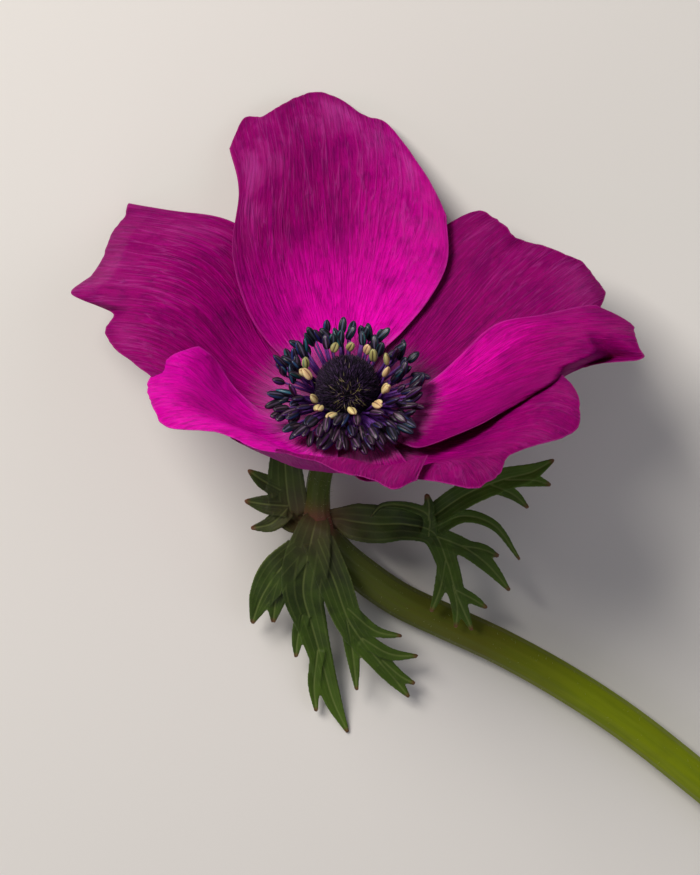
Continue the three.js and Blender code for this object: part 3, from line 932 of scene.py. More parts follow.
PETALS = (
    Petal(
        "petal_back", 97, 0, (0.4, 0.4),
        (2.4, 5.5, 11, 15.8, 18.9, 18.8), (2.4, 9, 14.4, 16, 13, 13.4),
        (30.2, 37.1, 43.6, 44.5, 48.3, 49.8, 48.5, 46.4, 46.2, 47.9, 43),
        (1.0, 0.0, 0.8), ruffle=0.4, flank_light=(0.7, -0.5),
        folds=(Fold(0.85, 0.2, 0.8, -0.8), Fold(0.45, 0.2, 0.75, -1.0), Fold(-0.75, 0.25, 0.7, -1.2)),
    ),
    Petal(
        "petal_left", 161, 1, (0, 0),
        (2.4, 8, 15.5, 19.6, 20, 21.2), (3.6, 8.6, 12.5, 14.6, 16.3, 17),
        (47.7, 45.7, 45, 43.8, 42.9, 44.2, 36.2, 36.4, 35, 33.1, 29),
        (0.35, 0.25, 0.35),
        folds=(
            Fold(-0.5, 0.42, 0.91, 6.5, 1.0), Fold(0.16, 0.06, 0.78, 2.4, 1.4),
            Fold(-0.1, 0.14, 0.6, -1.2), Fold(0.6, 0.3, 0.8, 1.6),
        ),
    ),
    Petal(
        "petal_front_left", 217, 0, (0, -0.95),
        (1.4, 1.5, 4.5, 9.6, 14.4, 16.4), (2.4, 8, 13, 17, 19.5, 20),
        (21, 26.4, 30, 32.2, 34.2, 36, 36.3, 34.1, 33.9, 34, 31),
        (0.8, -0.85, 0.2),
        folds=(Fold(0.0, 0.25, 0.5, 1.2), Fold(-0.7, 0.3, 0.85, 1.6), Fold(1.0, 0.2, 0.4, 0.5, 1.0)),
    ),
    Petal(
        "petal_front", 262, 1, (0, 0),
        (2.4, 7, 11, 13, 13.5, 13), (4, 9.1, 11.6, 13.4, 14.6, 14),
        (28, 30.5, 31.6, 32.2, 32.4, 33, 35.6, 36.6, 37.2, 39, 37),
        (0.2, 0.45, 0.1), folds=(Fold(0.1, 0.3, 0.6, 0.9), Fold(1.0, 0.35, 0.3, 1.0, 1.0)),
    ),
    Petal(
        "petal_front_right", 315, 2, (0, 0),
        (2.6, 8, 10.5, 10, 11, 16), (2.6, 8.5, 14, 17.5, 19, 18.5),
        (33, 40, 40, 38.4, 35.6, 36.2, 38, 39.4, 37.2, 33.8, 28),
        (0.15, 0.5, 0.1),
        folds=(Fold(0.6, 0.5, 0.3, -5.2, 0.7), Fold(-0.15, 0.16, 0.7, 1.8), Fold(0.45, 0.2, 0.85, 1.5)),
    ),
    Petal(
        "petal_right", -12, 0, (0.4, 0.4),
        (2.4, 5.5, 9, 12, 12, 11.4), (2.4, 4.4, 9.4, 13.3, 12, 13.6),
        (24, 28.8, 30.4, 33.6, 35, 36.9, 42.6, 41.9, 41.1, 40.4, 36.5),
        (0.55, 0.45, 0.0), flank_light=(-0.55, 1.1),
        folds=(
            Fold(-0.2, 0.25, 0.83, 13.5, 1.0, 3.4), Fold(0.75, 0.25, 0.8, 1.2),
            Fold(-0.45, 0.12, 0.78, -1.0), Fold(-1.0, 0.35, 0.2, 3.2, 0.8),
        ),
    ),
    Petal(
        "petal_back_right", 38, 1, (0, 0),
        (2.4, 8, 13.5, 17.5, 20, 19.5), (2.4, 7.5, 11.5, 14, 14.5, 13.5),
        (36.7, 38.9, 39.1, 38.9, 36.7, 34.3, 33.7, 33.9, 34.2, 33.8, 27),
        (0.0, 0.65, 0.25), flank_light=(-0.35, -0.1),
        folds=(Fold(0.1, 0.2, 0.75, 1.8), Fold(-0.7, 0.3, 0.85, 1.6), Fold(0.6, 0.3, 0.8, -0.8)),
    ),
)


@dataclass
class Corolla:
    """The seven petals, each a thin sheet on the bowl with ribs, swells and a ruffled rim."""

    place: BloomPlace
    finish: PetalTissue = PetalTissue()
    bowl: Bowl = Bowl()
    rows: int = 92
    columns: int = 176
    row_crowd: float = 1.25     # above 1 to set the rows closer towards the rim
    crowd: float = 0.12         # how much closer the columns stand towards the two edges
    layer_step: float = 1.2     # from one whorl to the next
    cup_whole_at: float = 0.5   # share of the length from which the edges stand off in full
    spread_whole_at: float = 0.25   # and from which the whorls spread in full
    root: float = 0.9          # how far the claw is sunk into the receptacle
    thick: tuple[float, float] = (0.45, 0.24)   # at the claw and near the rim
    taper: tuple[float, float] = (1.2, 0.6)     # how far in from the edges it thins, and by what share
    widest: float = 18.0        # half-width that the grain is laid out for
    nibble: float = 1.6         # how ragged the rim is
    nibbles: tuple[float, ...] = (9, 15, 26, 41, 60, 83)    # waves of it across; the finer, the lower
    nibble_power: int = 8       # how soon it fades inwards
    ribs: int = 22              # raised veins on each half
    rib_height: float = 0.025
    rib_fade: tuple[float, float] = (1.1, 0.7)          # share of it at the claw, and what the rim lacks
    second_ribs: tuple[float, float] = (0.6, 0.53)      # height and number, as shares of the first
    channel: tuple[float, float] = (-0.2, 0.09)         # height and width along the midrib
    channel_from: float = 0.2   # share of the length from which it has that height
    swell_whole_at: float = 0.7     # share of the length from which the swells have their height
    outer_swell: tuple[float, float, float] = (0.6, 0.6, 0.3)   # rise further out, its start and run
    flank_shares: tuple[float, float] = (0.9, 0.6)      # across where a flank's painted light is whole; what the rim loses of it
    # Waves, as height and radians across and along: of the ribs' course, the surface and the rim.
    wander: tuple[tuple[float, float, float], ...] = ((0.8, 0, 3), (0.5, 0, 7))
    swells: tuple[tuple[float, float, float], ...] = ((0.16, 5.1, 2.2), (0.12, 8.3, -4.1), (0.08, 3.1, 9.2))
    ruffles: tuple[tuple[float, float, float], ...] = ((0.55, 7.2, 0), (0.3, 13.1, 2), (0.16, 24.3, 0))
    ruffled_from: float = 0.62  # share of the length

    def middle_surface(self, petal: Petal, u: np.ndarray, v: np.ndarray) -> np.ndarray:
        """Middle surface of a petal in the floral frame, before its relief.

        Args:
            petal: which petal.
            u: from claw to rim, 0 to 1.
            v: across, from -1 on the clockwise edge to 1.
        Returns:
            Points in millimetres.
        """
        nibble = waves(tuple((1 / f, f, 0) for f in self.nibbles), u, v, petal.phases(0, 6))
        nibble = self.nibble * nibble * u ** self.nibble_power
        distance = u * petal.length(v) - self.root * (1 - u) + nibble
        middle = self.bowl.profile(np.full_like(distance, petal.middle), distance)[0]
        azimuth = petal.middle + np.degrees(v * petal.half(u, v) / middle)
        radius, height, angle = self.bowl.profile(azimuth, distance)
        cup = np.where(v < 0, *petal.cup)
        lift = cup * v * v * smooth(u / self.cup_whole_at) - petal.layer * self.layer_step
        reach = radius - lift * np.sin(angle) * smooth(u / self.spread_whole_at)
        turn = np.radians(azimuth)
        return np.stack([reach * np.cos(turn), reach * np.sin(turn), height + lift * np.cos(angle)], axis=-1)

    def ribbing(self, petal: Petal, u: np.ndarray, v: np.ndarray) -> np.ndarray:
        """Height of ribs, swells and the midrib's channel above the middle surface.

        Args:
            petal: which petal.
            u: from claw to rim.
            v: across.
        Returns:
            Heights in millimetres.
        """
        phases = petal.phases(100, 6)
        wander = waves(self.wander, u, v, phases[:2])
        lower, fewer = self.second_ribs
        ribs = np.cos(math.tau * self.ribs * v + wander)
        ribs = ribs + lower * np.cos(math.tau * fewer * self.ribs * v - wander + phases[2])
        whole, loss = self.rib_fade
        depth, width = self.channel
        channel = depth * np.exp(-(v / width) ** 2) * (1 - u) * smooth(u / self.channel_from)
        rise, start, run = self.outer_swell
        grown = smooth(u / self.swell_whole_at) * (1 + rise * smooth((u - start) / run))
        swell = grown * waves(self.swells, u, v, phases[3:])
        return self.rib_height * (whole - loss * u) * ribs + channel + swell

    def sinking(self, petal: Petal, u: np.ndarray, v: np.ndarray) -> np.ndarray:
        """How far ruffles and folds sink straight down.

        Args:
            petal: which petal.
            u: from claw to rim.
            v: across.
        Returns:
            Depths in millimetres.
        """
        grown = smooth((u - self.ruffled_from) / (1 - self.ruffled_from))
        total = grown * petal.ruffle * waves(self.ruffles, u, v, petal.phases(200, 3))
        for fold in petal.folds:
            grown = np.clip((u - fold.start) / (1 - fold.start), 0, 1) ** fold.power
            middle = fold.across + fold.slant * (1 - u)
            total = total + fold.depth * grown * np.exp(-((v - middle) / fold.width) ** 2)
        return total

    def build_petal(self, petal: Petal) -> bpy.types.Object:
        """Builds one petal as a closed sheet with a thin rim.

        Args:
            petal: which petal.
        Returns:
            The piece.
        """
        out = 1 - np.linspace(1, 0, self.rows + 1) ** self.row_crowd
        over = np.linspace(-1, 1, self.columns + 1)
        u, v = np.meshgrid(out, over + self.crowd * np.sin(math.pi * over), indexing="ij")
        ground = self.middle_surface(petal, u, v)
        normal = unit(np.cross(np.gradient(ground, axis=0), np.gradient(ground, axis=1)))
        ground = ground + normal * self.ribbing(petal, u, v)[..., None]
        ground = ground + self.place.to_floral((0, 0, -1)) * self.sinking(petal, u, v)[..., None]
        normal = unit(np.cross(np.gradient(ground, axis=0), np.gradient(ground, axis=1)))
        length = petal.length(v)
        border = np.minimum((1 - np.abs(v)) * petal.half(u, v), (1 - u) * length)
        thick = self.thick[0] + (self.thick[1] - self.thick[0]) * smooth(u)
        thick = thick * (1 - self.taper[1] * smooth(1 - border / self.taper[0]))
        offset = normal * (thick / 2)[..., None]
        points = np.concatenate([sheet.reshape(-1, 3) for sheet in (ground + offset, ground - offset)])

        # Grain in millimetres; zone: millimetres from the claw and from the rim, and which side.
        along = u * length
        grain = np.stack([v * self.widest, along, np.full_like(u, petal.middle)], axis=-1).reshape(-1, 3)
        zone = [np.stack([along, border, np.full_like(u, side)], axis=-1).reshape(-1, 3) for side in (0, 1)]
        # Each petal's painted glow, painted dusk and share of painted sheen, for every point.
        tone = np.tile(petal.tone, (len(points), 1))
        # The flanks' painted light takes from the dusk.
        whole_at, loss = self.flank_shares
        painted_flank = np.where(v < 0, *petal.flank_light) * smooth(np.abs(v) / whole_at) * (1 - loss * u)
        tone[:, 1] -= np.tile(painted_flank.ravel(), 2)
        attributes = {"grain": np.concatenate([grain] * 2), "zone": np.concatenate(zone), "tone": tone}
        mesh = (points, sheet_faces(self.rows, self.columns), attributes)
        return mesh_piece(f"{petal.name}_sheet", self.place.to_row(mesh))

    def build(self) -> None:
        """Builds and dresses all petals."""
        material = self.finish.material()
        for petal in PETALS:
            dress(self.build_petal(petal), material, "petal_tissue", petal.name)


class AntherKind(Enum):
    """How ripe an anther is, which sets its colour."""

    DARK = "dark"
    PALE = "pale"
    GREENISH = "greenish"


ANTHER_WALLS = {
    AntherKind.DARK: AntherWall(
        "anther_slate_wall", "#11121f", "#1d4a5e", "#4c4a68", tone=0.5, hue=0.2,
    ),
    AntherKind.PALE: AntherWall(
        "anther_cream_wall", "#cbac7c", "#dccf9a", "#845a4c", tone=0.3, hue=0.03, roughness=0.45,
    ),
    AntherKind.GREENISH: AntherWall(
        "anther_olive_wall", "#aba467", "#5f7558", "#4c3f30", tone=0.25, hue=0.03, roughness=0.42,
    ),
}


@dataclass(frozen=True)
class StamenRing:
    """A ring of stamens: count, radius and height of the filaments' tips, length of an anther."""

    count: int
    radius: float
    height: float
    length: float
    kind: AntherKind = AntherKind.DARK


@dataclass
class StamenCrown:
    """All stamens: violet filaments on the receptacle's shoulder, and two-lobed anthers."""

    place: BloomPlace
    rings: tuple[StamenRing, ...] = (
        StamenRing(18, 6.1, 3.7, 2.0, AntherKind.PALE),
        StamenRing(15, 7.3, 3.5, 2.3),
        StamenRing(24, 8.3, 3.1, 2.6),
        StamenRing(34, 9.2, 2.7, 2.7),
        StamenRing(38, 9.9, 2.3, 2.7),
        StamenRing(26, 8.0, 1.9, 2.5),
    )
    foot: tuple[float, float] = (4.5, 0.5)      # radius and height of the filaments' roots
    bend: tuple[float, float] = (0.6, 0.55)     # share of the way out and of the way up
    filament_radius: tuple[float, ...] = (0.24, 0.19, 0.14)
    filament_corners: int = 7
    anther_width: float = 1.46
    anther_depth: float = 1.0
    anther_rings: int = 10
    anther_corners: int = 16
    anther_end: float = 0.012   # share of its length that is cut off flat at each end
    end_power: float = 0.42     # 0 for square ends, 1 for a spindle
    girths: tuple[float, float] = (1.05, 0.14)          # at the foot, and what the tip lacks
    groove: tuple[float, float] = (0.4, 0.28)           # depth and width, as shares of the sac
    lobe_girth: tuple[float, float] = (0.9, 0.1)        # its breadth at the sides, and what the faces add
    hold: float = 0.12          # share of the length below the filament's tip
    lobe_foot: float = 0.05     # share of the length by which the lobes stand past the groove's ends
    scatter: float = 0.68       # how far the stamens stray, in millimetres or spaces
    stray: float = 0.75         # how far round the ring, as a share of the scatter
    pale_stray: float = 1.5
    high_stray: tuple[float, float] = (-0.6, 0.8)       # down and up, as shares of the scatter
    sway: float = 0.68          # how far an anther leans off its filament
    upright: float = 0.2        # how far it turns up
    face_in: tuple[float, float] = (0.6, 0.6)           # how far its face turns inwards, and strays
    lengths: tuple[float, float] = (0.72, 1.15)         # shortest and longest, as shares
    crowd: float = 0.42         # how much closer they stand at the front than at the back
    pale_crowd: float = 0.12
    back_rise: float = 1.6      # how much higher they stand at the back
    front_drop: float = 0.7     # and lower at the front
    rise_radius: float = 12.0   # both at this distance from the axis
    front_reach: float = 0.12   # share by which they stand further out at the front
    front_splay: tuple[float, float] = (1.0, -0.75)     # how far the front anthers lie out and down
    front_growth: float = 0.16  # how much longer the front anthers are
    back_teal: float = 0.35     # how far those at the back turn teal and those at the front violet
    greenish: tuple[float, float] = (0.15, 0.25)        # share among the pale, and its rise to the back
    seat: tuple[tuple[float, float], ...] = (
        (0.05, -0.65), (4.2, -0.65), (4.8, -0.1), (5.0, 0.5), (4.6, 1.0), (0.05, 1.0),
    )
    seat_corners: int = 48
    seed: int = 11

    def filament(self, stations: tuple[np.ndarray, np.ndarray, np.ndarray]) -> Mesh:
        """One filament as a bent tapered stalk.

        Args:
            stations: its root, bend and tip.
        Returns:
            Points, faces and attributes.
        """
        route = Route(tuple((*p, r) for p, r in zip(stations, self.filament_radius)), per_span=4)
        side = route.sides((0.3, 0.2, 1.0))[:, None]
        up = np.cross(side, route.tangents[:, None])
        turn = around(self.filament_corners)[None, :, None]
        ring = side * np.cos(turn) - up * np.sin(turn)
        points = (route.points[:, None] + ring * route.sizes[:, None, None]).reshape(-1, 3)
        along = np.repeat(np.linspace(0, 1, len(route.points)), self.filament_corners)
        return points, tube_faces(len(route.points), self.filament_corners), {"along": along}

    def anther(
        self, base: np.ndarray, axis: np.ndarray, face: np.ndarray, length: float, tone: tuple[float, float],
    ) -> Mesh:
        """One anther: two lobes side by side with a groove between them, a closed sac.

        Args:
            base: where it sits on its filament.
            axis: along it, towards its tip.
            face: out of the face that has the slit.
            length: in millimetres.
            tone: how far its hue and its brightness have gone among its kind, 0 to 1.
        Returns:
            Points, faces and attributes.
        """
        side = unit(np.cross(axis, face))
        face = np.cross(side, axis)
        t = np.linspace(self.anther_end, 1 - self.anther_end, self.anther_rings)[:, None]
        turn = around(self.anther_corners)[None, :]
        cos, sin = np.cos(turn), np.sin(turn)
        # The lobes' feet reach a little past the filament's tip, so the stalk enters between them.
        whole, loss = self.girths
        girth = np.sin(math.pi * t) ** self.end_power * (whole - loss * t)
        depth, width = self.groove
        least, more = self.lobe_girth
        x = girth * cos * (least + more * np.abs(sin))
        z = girth * sin * (1 - depth * np.exp(-(cos / width) ** 2))
        y = length * (t - self.hold + self.lobe_foot * np.abs(cos) * (2 * t - 1))
        points = (
            base + side * (x * self.anther_width / 2)[..., None]
            + face * (z * self.anther_depth / 2)[..., None] + axis * y[..., None]
        )
        # Only the face shows the slit, so the back reads as halfway to the rim.
        mark = np.where(sin > 0, cos, np.sign(cos + 1e-9) * 0.5)
        sac = np.stack([mark * np.ones_like(t), *(np.full_like(x, share) for share in tone)], axis=-1)
        # The rings run the other way round from a tube's, so the faces are turned over.
        faces = [corners[::-1] for corners in tube_faces(self.anther_rings, self.anther_corners)]
        return points.reshape(-1, 3), faces, {"sac": sac.reshape(-1, 3)}

    def stamen(
        self, rng: np.random.Generator, ring: StamenRing, spot: float,
    ) -> tuple[Mesh, Mesh, AntherKind]:
        """Places and builds one stamen.

        Args:
            rng: source of all that differs from stamen to stamen.
            ring: the ring that it stands in.
            spot: its place in the ring, in spaces.
        Returns:
            The filament, the anther and the anther's kind.
        """
        pale = ring.kind is AntherKind.PALE
        stray = self.pale_stray if pale else self.stray
        turn = math.tau * (spot + self.scatter * rng.uniform(-stray, stray)) / ring.count
        azimuth = turn - (self.pale_crowd if pale else self.crowd) * math.cos(turn)
        back = math.sin(azimuth)
        front = max(0.0, -back)
        out = np.array([math.cos(azimuth), back, 0.0])
        radius = ring.radius * (1 + self.front_reach * front) + self.scatter * rng.uniform(-1, 1)
        rise = (self.back_rise if back > 0 else self.front_drop) * back * radius / self.rise_radius
        height = ring.height + rise + self.scatter * rng.uniform(*self.high_stray)
        foot, tip = (out * far + UP * high for far, high in (self.foot, (radius, height)))
        knee_out, knee_up = self.bend
        bend = foot + knee_out * (radius - self.foot[0]) * out + knee_up * (height - self.foot[1]) * UP
        lean = rng.uniform(-self.sway, self.sway, 3) + self.upright * UP
        splay = front * (self.front_splay[0] * out + self.front_splay[1] * UP)
        axis = unit(unit(tip - bend) + lean + splay)
        inwards, strays = self.face_in
        face = unit(UP - inwards * out + rng.uniform(-strays, strays, 3))
        kind = ring.kind
        if pale and rng.uniform() < self.greenish[0] + self.greenish[1] * back:
            kind = AntherKind.GREENISH
        length = ring.length * rng.uniform(*self.lengths) * (1 + self.front_growth * front)
        hue, shade = rng.uniform(0, 1, 2)
        tone = (min(max(hue - self.back_teal * back, 0.0), 1.0), shade)
        return self.filament((foot, bend, tip)), self.anther(tip, axis, face, length, tone), kind

    def build(self) -> None:
        """Builds the seat with its filaments, and the anthers of each kind."""
        rng = np.random.default_rng(self.seed)
        stalks = [turned(self.seat, self.seat_corners, "along")]
        sacs = {kind: [] for kind in AntherKind}
        for number, ring in enumerate(self.rings):
            for i in range(ring.count):
                stalk, sac, kind = self.stamen(rng, ring, i + 0.5 * (number % 2))
                stalks.append(stalk)
                sacs[kind].append(sac)
        filaments = mesh_piece("stamen_filaments", self.place.to_row(gather(stalks)))
        dress(filaments, FilamentSkin().material(), "stamen_tissue", "stamens")
        for kind, parts in sacs.items():
            piece = mesh_piece(f"anthers_{kind.value}", self.place.to_row(gather(parts)))
            dress(piece, ANTHER_WALLS[kind].material(), "stamen_tissue")


@dataclass
class PistilDome:
    """The dome of pistils: a dark core covered by combed styles."""

    place: BloomPlace
    finish: StyleFelt = StyleFelt()
    base: float = 1.3           # height of its flat underside
    centre: float = 2.2
    radius: float = 4.2
    rings: int = 22
    corners: int = 56
    styles: int = 3200
    turn_stray: float = 0.05    # radians
    comb_stray: float = 0.3
    sunk: float = 0.08          # how deep a style is rooted
    length: float = 1.05
    lengths: tuple[float, float] = (0.6, 1.25)          # shortest and longest, as shares
    lean: tuple[float, float] = (0.9, 0.25)             # combing below the knee, rise above it
    tones: tuple[float, float, float, float] = (0.34, 0.2, 0.06, 0.75)  # mean, spread, least, most
    straw_tones: tuple[float, float] = (0.86, 1.0)
    straw_shape: tuple[float, float] = (1.5, 0.6)       # length and girth beside the others'
    girths: tuple[float, float, float] = (0.085, 0.066, 0.02)   # at a style's root, knee and tip
    whorl: tuple[float, float, float] = (0.06, -0.38, 0.923)    # row direction that they part from
    straw: tuple[float, float, float] = (0.38, 0.3, 0.003)      # share at the whorl, its reach, elsewhere
    seed: int = 5

    def build(self) -> None:
        """Builds the core and its styles as one piece."""
        rng = np.random.default_rng(self.seed)
        whorl = self.place.to_floral(self.whorl)
        low = (self.base - self.centre) / self.radius
        rise = np.linspace(math.asin(low), math.pi / 2 - 0.02, self.rings)
        core = list(zip(self.radius * np.cos(rise), self.centre + self.radius * np.sin(rise)))
        parts = [turned(core, self.corners, "tone")]
        golden = math.pi * (3 - math.sqrt(5))
        for k in range(self.styles):
            height = 1 - (1 - low) * (k + 0.5) / self.styles
            turn = k * golden + rng.uniform(-self.turn_stray, self.turn_stray)
            ring = math.sqrt(max(0.0, 1 - height * height))
            out = np.array([ring * math.cos(turn), ring * math.sin(turn), height])
            parts.append(self.style(rng, out, out - whorl))
        piece = mesh_piece("pistil_dome", self.place.to_row(gather(parts)))
        dress(piece, self.finish.material(), "pistil_tissue", "pistils")

    def style(self, rng: np.random.Generator, out: np.ndarray, away: np.ndarray) -> Mesh:
        """One style: a slim bent cone of three sides, combed away from the whorl.

        Args:
            rng: source of all that differs from style to style.
            out: direction from the dome's centre to its root.
            away: the same direction, seen from the whorl's.
        Returns:
            Points, faces and attributes.
        """
        comb = unit(away - out * away.dot(out) + rng.uniform(-self.comb_stray, self.comb_stray, 3))
        most, reach, least = self.straw
        far = float(np.linalg.norm(away))
        straw = rng.uniform() < most * math.exp(-(far / reach) ** 2) + least
        longer, girth = self.straw_shape if straw else (1.0, 1.0)
        half = 0.5 * self.length * rng.uniform(*self.lengths) * longer
        root = UP * self.centre + out * (self.radius - self.sunk)
        knee = root + half * unit(out + self.lean[0] * comb)
        tip = knee + half * unit(self.lean[1] * out + comb)
        if straw:
            tone = rng.uniform(*self.straw_tones)
        else:
            mean, spread, darkest, lightest = self.tones
            tone = min(max(rng.normal(mean, spread), darkest), lightest)
        side = unit(np.cross(out, comb))
        spokes = np.array([side, unit(-0.5 * side + 0.87 * out), unit(-0.5 * side - 0.87 * out)])
        rings = [at + girth * size * spokes for at, size in zip((root, knee, tip), self.girths)]
        return np.concatenate(rings), tube_faces(3, 3), {"tone": np.repeat([0.35 * tone, tone, tone], 3)}


# Stem and bracts

@dataclass
class Stem:
    """The stem with its ribs, node, neck and receptacle, and the down on it."""

    place: BloomPlace
    finish: StemSkin = StemSkin()
    stations: tuple[tuple[float, float, float, float], ...] = (
        (98.2, -97.2, 2.9, 2.9), (84.5, -84.9, 3, 2.9), (69.5, -71.6, 3, 2.9),
        (54.4, -58.9, 3, 2.85), (42.8, -49.9, 3, 2.85), (33.4, -43.7, 3, 2.85),
        (24.1, -38.6, 3, 2.8), (14.7, -34.2, 3.1, 2.8), (8, -31, 3.5, 2.75),
        (2.6, -27.3, 4.6, 2.7), (-1.8, -23.4, 6.2, 2.6), (-4.3, -19.4, 7.6, 2.35),
        (-4.5, -15.5, 8.7, 1.95), (-3.9, -11.2, 10.3, 1.85), (-2.2, -7.6, 12.1, 1.9),
        (-0.4, -5.2, 13.8, 2.1), (0, -3.96, 15.04, 3.4), (0, -3.25, 15.75, 4.2),
        (0, -1.84, 17.16, 4.3), (0, -0.71, 18.29, 4.2),
    )
    sides: int = 60
    ribs: int = 11
    rib_height: float = 0.06
    # How far the skin swells to one side, over what length, and in radians which side.
    drift: tuple[float, float, float] = (0.05, 4.1, 1.0)
    # How far below the top the ribs start to die out, and over what length.
    bare_top: tuple[float, float] = (6.0, 3.0)
    # The cut end, from its middle out: share of the radius, and depth below the cut. The pith is
    # sunken, with a ring of bundles round it.
    cut: tuple[tuple[float, float], ...] = ((0.02, 0.35), (0.3, 0.32), (0.62, 0.16), (0.84, 0.02), (0.95, 0))
    node_at: tuple[float, float, float] = (-4.4, -18.8, 7.8)
    node_reach: float = 2.6
    grain_radius: float = 2.9
    hairs: int = 900            # tries, of which those near the floor are left out
    hair_length: tuple[float, float] = (0.35, 0.8)
    # How far the foot's first corner and its other two lie from its middle, and half the gap of those.
    hair_foot: tuple[float, float, float] = (0.024, 0.014, 0.02)
    hair_root: float = 0.1      # how deep it is sunk
    hair_lean: tuple[float, float] = (0.4, 0.35)        # along the stem, and stray
    hairless: tuple[int, int] = (2, 30)         # points of the route without hair, at the cut and the top
    hairless_below: float = 1.2
    seed: int = 3

    def build(self) -> None:
        """Builds the stem and its down."""
        route = Route(self.stations, per_span=18)
        side = route.sides((0, 0, 1))
        up = np.cross(side, route.tangents)
        turn = around(self.sides)
        wave = np.cos(self.ribs * turn)[None, :] * self.rib_height
        far, over, where = self.drift
        drift = far * np.sin(route.lengths / over)[:, None] * np.sin(turn + where)[None, :]
        below, run = self.bare_top
        ribbed = 1 - smooth((route.lengths - route.lengths[-1] + below) / run)[:, None]
        radii = route.sizes[:, None] + (wave + drift) * ribbed - self.rib_height
        spokes = side[:, None] * -np.cos(turn)[None, :, None] + up[:, None] * np.sin(turn)[None, :, None]
        skin = route.points[:, None] + spokes * radii[..., None]

        middle, count = route.points[0], len(self.cut)
        ends = [middle + (skin[0] - middle) * share + route.tangents[0] * depth for share, depth in self.cut]
        rings = np.concatenate([np.array(ends), skin])
        lengths = np.concatenate([np.zeros(count), route.lengths])
        centres = np.concatenate([np.repeat(middle[None], count, axis=0), route.points])
        knot = np.exp(-(np.linalg.norm(centres - np.array(self.node_at), axis=1) / self.node_reach) ** 2)
        cut = np.concatenate([np.ones(count), np.zeros(len(skin))])
        zone = np.stack([lengths / route.lengths[-1], knot, cut], axis=-1)
        turns = np.tile(turn, len(rings))
        grain = np.stack([
            self.grain_radius * np.cos(turns), np.repeat(lengths, self.sides),
            self.grain_radius * np.sin(turns),
        ], axis=-1)
        piece = mesh_piece("stem_skin", (
            rings.reshape(-1, 3) + np.array(self.place.foot), tube_faces(len(rings), self.sides),
            {"grain": grain, "zone": np.repeat(zone, self.sides, axis=0)},
        ))
        dress(piece, self.finish.material(), "stem_tissue", "stem")
        self.build_down(route, side, up)

    def build_down(self, route: Route, side: np.ndarray, up: np.ndarray) -> None:
        """Builds the soft hairs that stand on the stem and its neck.

        Args:
            route: the stem's middle line.
            side: direction out of it at each point.
            up: direction square to the first.
        """
        rng = np.random.default_rng(self.seed)
        parts = []
        one, two, aside = self.hair_foot
        lean, stray = self.hair_lean
        first, last = self.hairless[0], len(route.points) - self.hairless[1]
        for _ in range(self.hairs):
            k = int(rng.integers(first, last))
            turn = rng.uniform(0, math.tau)
            out = -math.cos(turn) * side[k] + math.sin(turn) * up[k]
            root = route.points[k] + out * (route.sizes[k] - self.hair_root)
            if root[2] < self.hairless_below:
                continue
            along = route.tangents[k]
            length = rng.uniform(*self.hair_length)
            tip = root + length * unit(out + lean * along + rng.uniform(-stray, stray, 3))
            square = unit(np.cross(out, along))
            low = root - two * square
            points = np.array([root + one * square, low + aside * along, low - aside * along, tip])
            faces = [[0, 1, 2], [0, 3, 1], [1, 3, 2], [2, 3, 0]]
            parts.append((points + np.array(self.place.foot), faces, {}))
        dress(mesh_piece("stem_down", gather(parts)), HairSheath().material(), "stem_tissue")


@dataclass(frozen=True)
class Bract:
    """One bract: its lobes, each as [x, y, z, half-width] from the foot of the bloom."""

    name: str
    root: tuple[float, float, float, float]     # station inside the stem, before the first lobe
    lobes: tuple[tuple[tuple[float, float, float, float], ...], ...]


